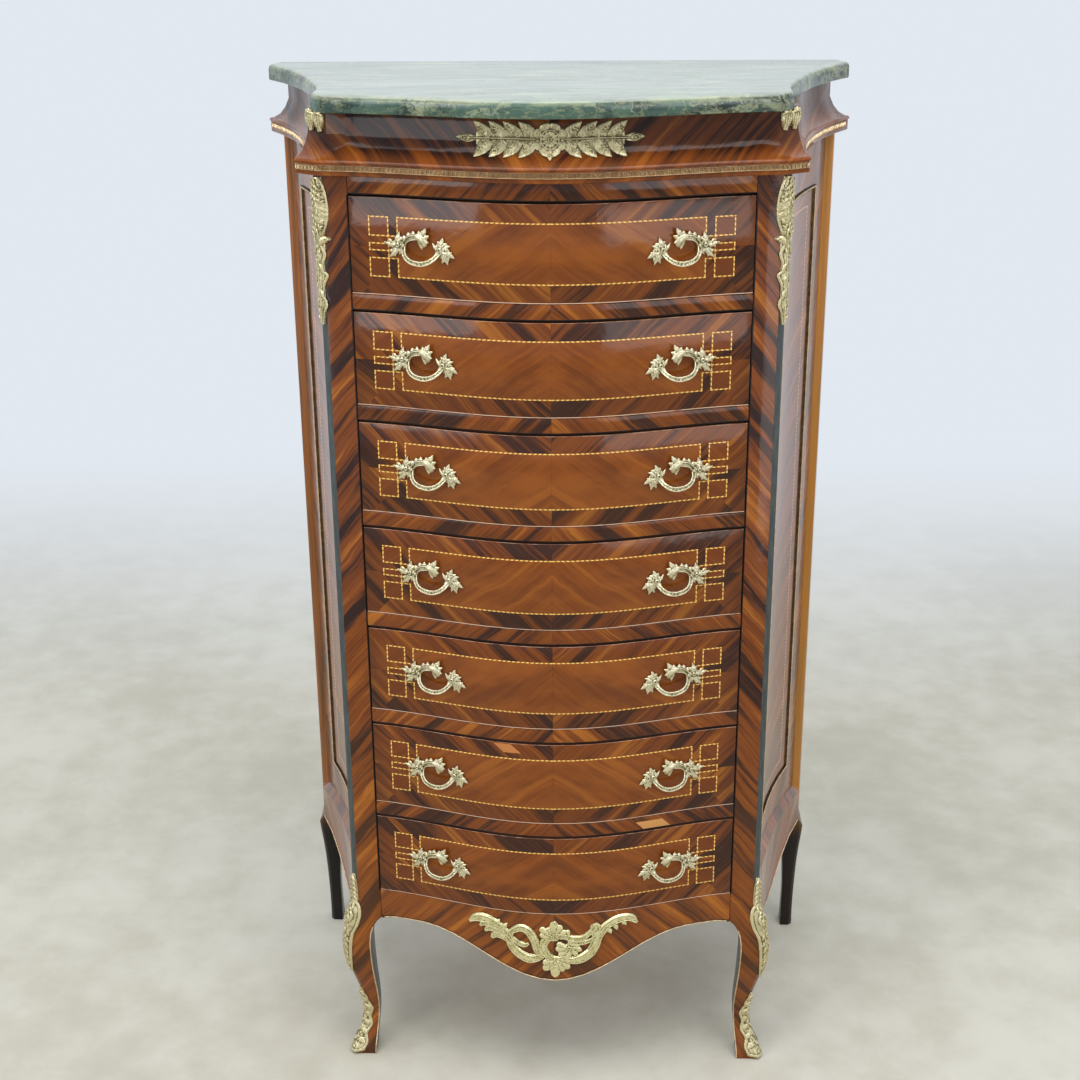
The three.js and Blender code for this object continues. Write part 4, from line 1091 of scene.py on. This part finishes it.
def scroll(mesh, wide, points):
    """A flat scroll with raised rims, through points of along, up and share of its width."""
    sweep(mesh, [(u, v, 1.6, wide * 1.16 * s, 2.2) for u, v, s in points])
    for side in (-1, 1):
        rim = []
        for k, (_, _, s) in enumerate(points):
            rim.append((*moved_aside(points, k, side * wide * s * 0.74), 1.6 + 2.2 * 0.72, 0.95))
        sweep(mesh, rim, 8)


# Apron mount: half widths and points of its scrolls, then its leaves
APRON_SCROLLS = (
    (5.2, (-56, -20, 0.8), (-59, -34, 1), (-50, -51, 1.2), (-34, -61, 1.3), (-20, -58, 1), (-12, -50, 0.7)),
    (5, (-57, -22, 0.7), (-45, -15, 1), (-34, -19, 1.1), (-26, -32, 1.1), (-22, -48, 0.9), (-14, -56, 0.6)),
    (4.0, (-54, -30, 0.6), (-46, -38, 0.9), (-38, -40, 0.8), (-33, -37, 0.3)),
    (
        4.6, (12, -26, 0.7), (0, -24, 1), (-10, -31, 1.15), (-14, -42, 1.2),
        (-9, -54, 1.1), (2, -61, 1), (16, -58, 0.8),
    ),
    (4.0, (10, -24, 0.8), (22, -28, 1), (36, -29, 1), (46, -22, 0.9), (54, -12, 0.8)),
    (3.2, (18, -34, 0.8), (30, -36, 1), (44, -34, 0.9), (54, -28, 0.7), (60, -20, 0.5)),
    (5.4, (16, -62, 0.8), (32, -62, 1.15), (46, -54, 1.25), (55, -42, 1), (60, -28, 0.8), (72, -12, 0.7)),
    (4.8, (52, -8, 0.9), (54, -15, 1.5), (55, -24, 1.2), (52, -36, 0.8), (46, -46, 0.5)),
    (5.4, (58, -26, 0.7), (68, -14, 1), (82, -6, 1.1), (96, -4.4, 1), (104, -8, 0.8), (109, -14, 0.2)),
    (
        6.4, (-55, -40, 0.6), (-62, -27, 0.9), (-76, -15, 1.1),
        (-92, -8, 1.1), (-104, -9, 0.8), (-112, -15, 0.2),
    ),
    (4.2, (-54, -40, 0.8), (-64, -32, 1.1), (-74, -29, 1.1), (-80, -31, 0.9), (-82, -35, 0.3)),
    (3.8, (-60, -32, 0.8), (-72, -24, 1.1), (-82, -21, 1.1), (-88, -22, 0.9), (-91, -26, 0.3)),
    (3.4, (-76, -18, 0.8), (-86, -14.6, 1.1), (-94, -15.4, 0.9), (-98, -19, 0.3)),
)
WING_LEAVES = (
    (-66, -18, -61, -9.6, 6), (-74, -13, -71, -4.8, 6), (-82, -9, -81, -2, 5.4),
    (70, -18, 75, -26, 7), (78, -12, 83, -21.6, 7), (88, -9, 95, -16, 6.4),
)
BED_LEAVES = ((0, -32, -2, -10, 23), (-1, -56, 1, -78, 26), (12, -42, 30, -46, 17))
SHELL_LEAVES = (
    (0, -27, 1, -2, 12), (-2, -25, -18, -12.4, 10), (-2, -27, -18.6, -22, 9),
    (2, -25, 10, -8, 9.4), (3, -26, 17, -17, 8), (20, -24, 19, -15, 6),
    (-2, -62, -15, -66, 10), (-1, -62, -14, -77, 11), (1, -60, 1, -88, 13),
    (4, -62, 12, -79, 10), (6, -62, 20, -75, 10), (6, -60, 23, -65, 9),
    (18, -42, 4, -35, 9), (18, -43, 2, -44, 10), (19, -44, 6, -54, 9), (21, -44, 17, -59, 9),
    (23, -43, 29, -55, 8.4), (23, -41, 36, -48, 8), (22, -39, 34, -39, 7.4),
)


def draw_apron_mount(mesh):
    for wide, *points in APRON_SCROLLS:
        scroll(mesh, wide, points)
    leaves(mesh, WING_LEAVES, 2, 1.8, bend=0.8)
    leaves(mesh, BED_LEAVES, 2.4, 1.6, veins=False, form="blunt")
    leaves(mesh, SHELL_LEAVES, 2.2, 2, bend=0.8, form="blunt")
    boss(mesh, 20, -42, 3.2, 5)
    boss(mesh, 1, -4.4, 3, 4)


# Frieze mount: a leafy bar to each side of a rosette
def draw_frieze_bar(mesh, side):
    bar = ((8, 7, 1.5), (48, 9, 1.5), (82, 7, 1.4))
    sweep(mesh, [(side * u, 0, 0.8, wide, high) for u, wide, high in bar], 10, 5)
    for u in (35, 52, 68, 85):
        for up in (-1, 1):
            root, tip = (side * (u - 17), up * 1.0), (side * u, up * 18.8)
            leaf(mesh, root, tip, 15.4, 2.1, 1.2, bend=up * side, form="lobe")
            strokes = []
            for k in range(4):
                rise = 4 + 2.6 * k + 2.2 * math.sin(k * 2.4 + u)
                strokes.append((side * (u - 14 + 3.2 * k), up * rise))
            flames(mesh, strokes, 4.4, 0.85, 3.3)
    leaf(mesh, (side * 82, 0), (side * 105, 0.4), 10.4, 1.8, 1.2, veins=False)
    eye = [(side * (94.5 + 4.6 * math.cos(a)), 2.7 * math.sin(a), 3, 0.8) for a in around(12)]
    sweep(mesh, eye, 8, 2)
    sweep(mesh, [(side * 16, 0, 3.4, 1.3), (side * 50, 0.6, 3.4, 1.1), (side * 92, 0, 2.8, 0.8)], 8, 6)


def draw_frieze_mount(mesh):
    for side in (-1, 1):
        draw_frieze_bar(mesh, side)
    sweep(mesh, [(0, 0, 0.3, 14), (0, 0, 1.6, 14), (0, 0, 2.2, 12)], 18, 2)
    for k in range(8):
        turn = 2 * math.pi * (k + 0.5) / 8
        c, d = math.cos(turn), math.sin(turn)
        leaf(mesh, (7 * c, 7 * d), (19.4 * c, 18.2 * d), 13.4, 1.9, 1.6, form="blunt")
    leaf(mesh, (0, -9), (0, -21.5), 12, 1.9, 1.6, form="lobe")
    sweep(mesh, [(10 * math.cos(a), 10 * math.sin(a), 3.6, 0.9) for a in around(20)], 8, 2)
    for a in around(12)[:-1]:
        c, d = math.cos(a), math.sin(a)
        leaf(mesh, (3 * c, 3 * d), (8.6 * c, 8.6 * d), 4.2, 1.5, 3, veins=False, form="blunt")
    boss(mesh, 0, 0, 2.8, 5)


# Corner castings, drawn across and down the cant
def draw_chute_head(mesh):
    head = [(0, 0, -2, 6.4), (0.4, -12, -1, 9), (1, -30, 0, 10.8), (1.2, -46, 0, 10.6)]
    head += [(0.6, -60, -1, 8), (0, -70, -2, 6)]
    sweep(mesh, [(u, v, w, r, 7.5) for u, v, w, r in head], 14, 5)
    rim = [(3.6, 1, 1.6), (8, -8, 2.2), (10.6, -22, 2), (11.4, -38, 1.8), (10.2, -52, 2), (7.4, -63, 2.4)]
    for side in (-1, 1):
        sweep(mesh, [(side * u, v, w, 1.2) for u, v, w in rim], 8)
        foot = (side * 12, -69.6)
        leaf(mesh, (side * 2, -80), foot, 8.4, 2.6, 3.4, bend=side * 2.4, form="blunt", veins=False)
        boss(mesh, side * 10.8, -70.6, 2.5, 6)
        for k in range(7):
            v = -9 - 7.6 * k
            reach = 9.4 * math.sin(math.pi * (0.2 + 0.64 * k / 7))
            root, tip = (side * 1.2, v + 2), (side * (reach + 1), v - 5)
            leaf(mesh, root, tip, 5.4, 2, 4.6, bend=side * -1.2, veins=False)


def chute_dome(u):
    """Height of the chute's crowned head, across it."""
    return 7.4 * math.sqrt(max(0.1, 1 - (u / 11.8) ** 2)) - 0.2


def draw_chute_shell(mesh):
    spots = []
    for k in range(13):
        v = -5 - 4.9 * k
        reach = 9.4 * math.sin(math.pi * (0.14 + 0.7 * k / 13))
        for t in (-0.84, -0.28, 0.28, 0.84):
            spots.append((reach * t + (k % 2) * 1.6 - 0.8, v + 1.5 * math.sin(k * 2.1 + t * 4)))
    flames(mesh, spots, 6.6, 1.25, chute_dome)


def draw_chute_tail(mesh):
    tail = [(0, -70, 0, 7), (0, -86, 0, 7), (0, -104, 0, 5.8), (0, -114, 0, 6.6), (0, -132, 0, 4.6)]
    tail += [(0, -150, 0, 5), (0, -172, -0.5, 1.8)]
    sweep(mesh, [(u, v, w, r, 5.4) for u, v, w, r in tail], 12, 5)
    wave = [(4.6, -78), (8, -88), (5.4, -100), (5.6, -108), (9.6, -113), (6.6, -122), (4.6, -134)]
    wave += [(7.6, -148), (4, -158), (1.6, -172)]
    for side in (-1, 1):
        sweep(mesh, [(side * u, v, 3, 1.5 - 0.004 * abs(v + 78)) for u, v in wave], 8)
        for k in range(8):
            v = -84 - 10.4 * k
            if k % 3 == side + 1:
                root, tip = (side * 0.4, v + 6), (side * (7 - 0.42 * k), v - 6)
                leaf(mesh, root, tip, 5, 1.9, 4.2, bend=side * 1.4, veins=False)
    for k in (-1, 0, 1):
        reed = [(-0.4 + k * 2.7, -78), (0.6 + k * 2.1, -96), (-0.6 + k * 2.3, -114), (0.5 + k * 1.7, -134)]
        reed += [(k * 1.6, -152), (0, -170)]
        sweep(mesh, [(u, v, 4.9 - abs(k) * 0.9, 1.05) for u, v in reed], 8)
    flames(mesh, [(3.2 * math.sin(k * 1.9), -80 - 5.2 * k) for k in range(17)], 5.4, 1.0, 5.4)


def draw_chute(mesh):
    draw_chute_head(mesh)
    draw_chute_shell(mesh)
    draw_chute_tail(mesh)


def draw_knee(mesh):
    core = [(0, -1, -1, 1.8), (0, -14, 0, 4.4), (0, -30, 0, 5.4), (0, -42, 0, 6.4), (0, -60, 1, 10.4)]
    core += [(0, -74, 1, 9.6), (0, -88, 0, 6.8), (0, -110, 0, 5.6), (0, -132, -0.5, 4), (0, -150, -1, 1.6)]
    sweep(mesh, [(u, v, w, r, 5.4) for u, v, w, r in core], 12)
    for k in range(5):
        v = -10 - 7 * k
        for side in (-1, 1):
            leaf(mesh, (0, v + 6), (side * (5.4 + k * 0.5), v - 2), 5.4, 2, 3.8, veins=False)
    rim = [(4, -40), (9.6, -48), (12, -60), (11, -74), (8, -86), (6.6, -104), (5, -126), (1.8, -149)]
    for side in (-1, 1):
        spiral = []
        for k in range(15):
            turn = math.pi * (0.5 + 0.22 * k)
            r = 7.6 - 0.42 * k
            u = 1.4 + 0.1 * k + r * math.cos(turn) * 0.9
            spiral.append((side * u, -60 + r * 1.3 * math.sin(turn), 5.4 + 0.1 * k, 1.5))
        sweep(mesh, spiral, 8, 3)
        sweep(mesh, [(side * u, v, 2.4, 1.5) for u, v in rim], 8)
        for k in range(6):
            v = -84 - 10 * k
            leaf(mesh, (side * 0.4, v + 6), (side * (5.6 - 0.5 * k), v - 4), 4, 1.7, 4, veins=False)
    flames(mesh, [(3.4 * math.sin(k * 2.3), -46 - 4.8 * k) for k in range(10)], 5, 1.2, 6.6)
    flames(mesh, [(1.6 * math.sin(k * 1.9), -96 - 6.4 * k) for k in range(8)], 4.6, 1.0, 5.2)


def draw_sabot(mesh):
    core = [(0, -0.5, -1, 1.2), (0, -16, -0.5, 3.2), (0, -36, 0, 4.8), (0, -56, 0, 5.6), (0, -72, 0, 6.8)]
    core += [(0, -86, 0, 8.4), (0, -97, 0, 9.8)]
    sweep(mesh, [(u, v, w, r, 4.6) for u, v, w, r in core], 12)
    edge = [(1, -2, 1), (4, -16, 2), (4, -26, 2.2), (7.2, -38, 2), (5.4, -50, 2.4), (8.6, -62, 2)]
    edge += [(7, -74, 2.4), (11, -86, 1.6), (10.4, -96, 2)]
    for side in (-1, 1):
        sweep(mesh, [(side * u, v, w, 1.4) for u, v, w in edge], 8)
        for k, reach in enumerate((3, 3.8, 6, 5.2, 7.2, 7.4, 9.6)):
            v = -12 - 12 * k
            leaf(mesh, (0, v + 6), (side * reach, v - 3), 5, 2, 3.6, bend=side * 1.2, veins=False)
    flames(mesh, [(0.08 * k * math.sin(k * 2.3), -20 - 4.4 * k) for k in range(17)], 5, 1.1, 5)
    sweep(mesh, [(-9.6, -95, 1.6, 2.2), (0, -96, 4.2, 2.4), (9.6, -95, 1.6, 2.2)], 8, 5)


def draw_frieze_corner(mesh):
    """Two reeded lobes that hang side by side, with curled tops and rounded ends."""
    for middle in (-8.2, 8.2):
        for u, drop in ((-5.6, 18), (-1.9, 23.5), (1.9, 24), (5.6, 19)):
            foot = middle + u * 0.8
            reed = [(middle + u, -3, 1.2, 1.9, 3.6), (middle + u * 1.1, -11, 2, 1.95, 3.8)]
            sweep(mesh, [*reed, (foot, -drop, 1, 1.7, 2.4)])
            sweep(mesh, [(middle + u, -6, 5.6, 0.7), (foot, -drop + 3, 3.2, 0.6)], 6, 3)
        bed = [(middle, -2, 0, 7.6, 3), (middle, -12, 0, 7.6, 3), (middle, -20, 0, 5.4, 2)]
        sweep(mesh, bed, 12)
        top = [(middle - 7.8, -5, 2, 1.6), (middle, -2.2, 5, 2.1), (middle + 7.8, -5, 2, 1.6)]
        sweep(mesh, [(u, v, w, r, r * 1.2) for u, v, w, r in top], 8, 5)
        for u in (-4, 0, 4):
            root, tip = (middle + u * 0.6, -5), (middle + u * 1.2, 1.4 - abs(u) * 0.3)
            leaf(mesh, root, tip, 4, 1.6, 4.4, veins=False, form="blunt")


def make_pair(stem, draw, spot):
    """A casting on the right and its mirror on the left."""
    right = casting(f"bronze_right_{stem}", draw, spot)
    left = mirrored(right, f"bronze_left_{stem}")
    smooth(left, 60)
    for hand, piece in (("right", right), ("left", left)):
        finish_piece(piece, bronze["worn_bronze"], "case", "bronze", f"{hand}_{stem}")


# Tops of the corner castings, and where the frieze castings hang
CORNER_TOPS = {"chute": 1206.5 * MM, "knee_mount": 284 * MM, "sabot": 101.5 * MM}
CORNER_DRAWINGS = {"chute": draw_chute, "knee_mount": draw_knee, "sabot": draw_sabot}
CORNER = (268 * MM, front_y(264 * MM) + 4 * MM)
FRIEZE_CANT = (25, 26, 0)
FRIEZE_CORNER_TOP = 1279.4 * MM
FRIEZE_START = (0, -190 * MM)
FRIEZE_MIDDLE = 1256 * MM


def make_mounts():
    for stem, top in CORNER_TOPS.items():
        lie = laid_on("right_front_post", CORNER, (-1, -1, 0), (-1, 1, 0), top)
        make_pair(stem, CORNER_DRAWINGS[stem], lie)
    cant = Vector(FRIEZE_CANT).normalized()
    low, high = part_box("right_frieze_corner_mount")
    middle = ((low[0] + high[0]) / 2, (low[1] + high[1]) / 2)
    lie = laid_on("cornice", middle, cant, (-cant.y, cant.x, 0), FRIEZE_CORNER_TOP)
    make_pair("frieze_corner_mount", draw_frieze_corner, lie)
    mount = casting("bronze_apron_mount", draw_apron_mount, apron_spot, 0.5, 0.3)
    finish_piece(mount, bronze["gilt_bronze"], "case", "bronze", "apron_mount")
    lie = laid_on("cornice", FRIEZE_START, (1, 0, 0), (0, 1, 0), FRIEZE_MIDDLE)
    frieze = casting("bronze_frieze_mount", draw_frieze_mount, lie, 0.45, 0.4, chase=0.24)
    # Grey bronze with painted shade from the slab
    finish_piece(frieze, bronze["grey_bronze_and_shade"], "case", "bronze", "frieze_mount")


# Brass trim: strands of pearls along edges, and a stamped band on the ledge
PEARL = 1.1 * MM
PEARL_PITCH = 2.6 * MM
UP = Vector((0, 0, 1))


def along_path(points, step):
    """Points at even steps along a broken line."""
    out = [Vector(points[0])]
    left = step
    for a, b in zip(points, points[1:]):
        a, b = Vector(a), Vector(b)
        run = (b - a).length
        gone = left
        while gone <= run:
            out.append(a.lerp(b, gone / run))
            gone += step
        left = gone - run
    return out


def strand(name, points, radius=PEARL, pitch=PEARL_PITCH):
    """A cast strand of pearls: one swept bar whose thickness swells at each pearl."""
    mesh = bmesh.new()
    path = along_path(points, pitch / 4)
    rings = []
    for k, p in enumerate(path):
        r = radius * (0.62 + 0.38 * abs(math.sin(math.pi * k / 4)))
        before, after = neighbours(path, k)
        way = (after - before).normalized()
        side = way.cross(Vector((0.3, 0.2, 1)) if abs(way.z) < 0.9 else Vector((0, 1, 0.1))).normalized()
        over = way.cross(side).normalized()
        ring = []
        for i in range(6):
            turn = math.pi * (2 * i + 1) / 6
            ring.append(mesh.verts.new(p + (side * math.cos(turn) + over * math.sin(turn)) * r))
        rings.append(ring)
    skin_over(mesh, rings)
    piece = piece_from(name, mesh)
    smooth(piece, 80)
    finish_piece(piece, bronze["band_brass"], "case", "bronze")


def first_hits(node, starts, inward, off=0.0):
    """Where rays from the starts first meet a node, moved off it."""
    tree = carrier(node)
    inward = Vector(inward)
    hits = [tree.ray_cast(Vector(start), inward, 0.4)[0] for start in starts]
    return [hit - inward * off for hit in hits if hit is not None]


def make_bead_frame_pearls(hand, side):
    f = FRAME
    inset = f["bead"] / 2
    y0, y1 = f["front"] + inset, f["rear"] - inset
    z0, z1 = f["low"] + inset, f["high"] - inset
    steps = 24
    corners = [(y0, z0), (y1, z0), (y1, z1), (y0, z1), (y0, z0)]
    starts = []
    for (ya, za), (yb, zb) in zip(corners, corners[1:]):
        for i in range(steps):
            t = i / steps
            starts.append((side * 0.45, ya + (yb - ya) * t, za + (zb - za) * t))
    starts.append((side * 0.45, y0, z0))
    points = first_hits(f"{hand}_bead_frame", starts, (-side, 0, 0), 0.1 * MM)
    strand(f"{hand}_frame_pearls", points, 1.2 * MM, 3 * MM)


APRON_HALF = 229 * MM


def make_apron_pearls():
    """Pearls under the shaped edge of the apron, just ahead of its face."""
    places = [APRON_HALF * (i / 45 - 1) for i in range(91)]
    starts = [(x, front_y(x) - 0.5 * MM, 0.05) for x in places]
    hits = first_hits("apron", starts, UP)
    strand("apron_pearls", [Vector((p.x, p.y - 0.4 * MM, p.z + 1.2 * MM)) for p in hits])


LEG_TOP = 213 * MM


def make_leg_pearls(hand, side):
    """Pearls down the inner arris of a leg: at each height, the point nearest the middle and the front."""
    rows = {}
    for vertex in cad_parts[f"{hand}_front_post"].data.vertices:
        z = round(vertex.co.z, 4)
        edge = abs(vertex.co.x) + vertex.co.y
        if z < LEG_TOP and (z not in rows or edge < rows[z][0]):
            rows[z] = (edge, vertex.co.copy())
    path = [rows[z][1] + Vector((side * 0.6 * MM, 0.2 * MM, 0)) for z in sorted(rows)]
    path[0].z = 1.2 * MM
    strand(f"{hand}_leg_pearls", path)


SIDE_FRONT = -96 * MM
SIDE_RUN = 275 * MM


def make_side_pearls(hand, side):
    """Pearls above the arched lower edge of a side."""
    tree = carrier(f"{hand}_side")
    inward = Vector((-side, 0, 0))
    edge = []
    for i in range(60):
        y = SIDE_FRONT + SIDE_RUN * i / 59
        face = tree.ray_cast(Vector((side * 0.5, y, 0.3)), inward, 0.5)[0]
        if face is None:
            continue
        under = tree.ray_cast(Vector((face.x, y, 0.05)), UP, 0.3)[0]
        if under is not None:
            z = under.z + 1.5 * MM
            out = tree.ray_cast(Vector((side * 0.5, y, z)), inward, 0.5)[0]
            edge.append(Vector((out.x, y, z)))
    strand(f"{hand}_side_pearls", edge)


def trim_piece(name, bars, material, *nodes):
    """Bars, each a run of points with the way out at each, and a section of side and proud."""
    mesh = bmesh.new()
    for run, section in bars:
        rings = []
        for k, (p, out) in enumerate(run):
            (before, _), (after, _) = neighbours(run, k)
            across = out.cross(after - before).normalized()
            rings.append([mesh.verts.new(p + across * side + out * proud) for side, proud in section])
        skin_over(mesh, rings)
    return finish_piece(piece_from(name, mesh), material, "case", "bronze", *nodes)


def ridge(wide, proud):
    return ((-wide, -0.3 * MM), (0, proud), (wide, -0.3 * MM))


# Stamped band: height of the wooden lip above it, depth under the solid's face, and pitch of the zigzag
LIP = 1.3 * MM
BAND_SUNK = 0.75 * MM
BAND_DEEP = -1.3 * MM
ZIGZAG = 2.6 * MM
LIP_SECTION = ((0, BAND_DEEP), (0, 0.3 * MM), (LIP * 0.3, 0.65 * MM))
LIP_SECTION += ((LIP * 0.7, 0.65 * MM), (LIP, 0.3 * MM), (LIP, BAND_DEEP))


def band_run(middle):
    """Points round the left side, the front and the right side of the ledge, with the way out at each."""
    starts = [(-0.5, 0.2 - 0.32 * i / 60, middle) for i in range(58)]
    left = first_hits("cornice_band", starts, (1, 0, 0), -BAND_SUNK)
    starts = [(-0.291 + 0.582 * i / 120, -0.4, middle) for i in range(121)]
    front = first_hits("cornice_band", starts, (0, 1, 0), -BAND_SUNK)
    right = [Vector((-p.x, p.y, p.z)) for p in reversed(left)]
    run = []
    path = along_path(left + front + right, ZIGZAG)
    for k, p in enumerate(path):
        before, after = neighbours(path, k)
        way = after - before
        run.append((p, Vector((way.y, -way.x, 0)).normalized()))
    return run


def make_stamped_band():
    """The ledge band: a dark ground, two rims and a zigzag of leaves, under a rounded wooden lip."""
    low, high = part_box("cornice_band")
    foot = low[2] + 0.2 * MM
    top = high[2] - LIP
    half = (top - foot) / 2
    run = band_run((foot + top) / 2)
    ground = ((-half, BAND_DEEP), (-half, 0), (half, 0), (half, BAND_DEEP))
    trim_piece("stamped_band_ground", [(run, ground)], bronze["band_ground"], "cornice_band")
    bars = []
    for rim in (-1, 1):
        lift = UP * rim * (half - 0.6 * MM)
        bars.append(([(p + lift, out) for p, out in run], ridge(0.6 * MM, 0.6 * MM)))
    swing = half - 1.5 * MM
    wave = [(p + UP * swing * (-1) ** k, out) for k, (p, out) in enumerate(run)]
    bars.append((wave, ridge(0.75 * MM, 0.7 * MM)))
    for k, (p, out) in enumerate(run[:-2]):
        up = UP * (-1) ** k
        root = p - up * swing * 0.1
        tip = p - up * (swing + 0.3 * MM)
        bars.append(([(root, out), ((root + tip) / 2, out), (tip, out)], ridge(0.6 * MM, 0.6 * MM)))
    trim_piece("stamped_band", bars, bronze["band_brass"])
    trim_piece("cornice_lip", [([(p + UP * half, out) for p, out in run], LIP_SECTION)], veneer_cornice)


make_pulls()
make_mounts()
for hand, side in HANDS:
    make_bead_frame_pearls(hand, side)
make_apron_pearls()
for hand, side in HANDS:
    make_leg_pearls(hand, side)
    make_side_pearls(hand, side)
make_stamped_band()

# Studio: colours of the world and the floor, and where the floor fades behind and around the chest
SKY = (0.76, 0.81, 0.87)
FLOOR_GREY = colour(184, 179, 162)
FLOOR_PALE = colour(203, 199, 185)
FADE_BEHIND = (0.75, 2.6)
FADE_AWAY = (3.0, 10.0)

# Lamps: place, aim, size, power and tint
LAMPS = {
    "ceiling": ((0, -0.9, 3.3), (0, -0.1, 0.6), (2.8, 1.6), 62, (1, 1, 1)),
    "window": ((-2.6, -3.0, 1.9), (0, 0, 0.8), (1.2, 1.8), 30, (0.95, 0.97, 1)),
    "doorway": ((2.1, -3.1, 1.25), (0.1, 0, 0.9), (1.6, 1.2), 17, (0.98, 0.98, 1)),
}


def floor_material():
    """A pale mottled floor that fades into the world's colour."""
    shader = Shader("pale_floor", Roughness=0.65)
    x, y, z = shader.place()
    cloud = shader.noise(x * 2.2, y * 2.2, z, detail=5, rough=0.62)
    mottle = shader.noise(x * 14, y * 14, z, detail=4, rough=0.6)
    share = (cloud * 0.6 + mottle * 0.4).ramp(0.35, 0.65)
    shader.feed(Base_Color=shader.blend(share, FLOOR_GREY, FLOOR_PALE))
    haze = shader.tree.nodes.new("ShaderNodeEmission")
    haze.inputs[0].default_value = (*SKY, 1)
    mix = shader.tree.nodes.new("ShaderNodeMixShader")
    away = (x * x + y * y).power(0.5).ramp(*FADE_AWAY)
    shader.plug(mix.inputs[0], y.ramp(*FADE_BEHIND).most(away))
    shader.tree.links.new(shader.surface.outputs[0], mix.inputs[1])
    shader.tree.links.new(haze.outputs[0], mix.inputs[2])
    shader.tree.links.new(mix.outputs[0], shader.output.inputs[0])
    return shader.material


def make_lamp(name, place, aim, size, power, tint):
    data = bpy.data.lights.new(name, "AREA")
    data.shape = "RECTANGLE"
    data.size, data.size_y = size
    data.energy = power
    data.color = tint
    lamp = linked(name, data)
    lamp.visible_camera = False
    lamp.location = place
    lamp.rotation_euler = (Vector(aim) - Vector(place)).to_track_quat("-Z", "Y").to_euler()


def make_studio():
    bpy.ops.mesh.primitive_plane_add(size=60, location=(0, 0, 0))
    floor = bpy.context.object
    floor.name = "floor"
    floor.data.materials.append(floor_material())
    scene = bpy.context.scene
    scene.view_settings.view_transform = "Standard"
    scene.world = bpy.data.worlds.new("studio")
    scene.world.use_nodes = True
    background = scene.world.node_tree.nodes["Background"]
    background.inputs[0].default_value = (*SKY, 1)
    background.inputs[1].default_value = 1
    for name, setting in LAMPS.items():
        make_lamp(name, *setting)


make_studio()
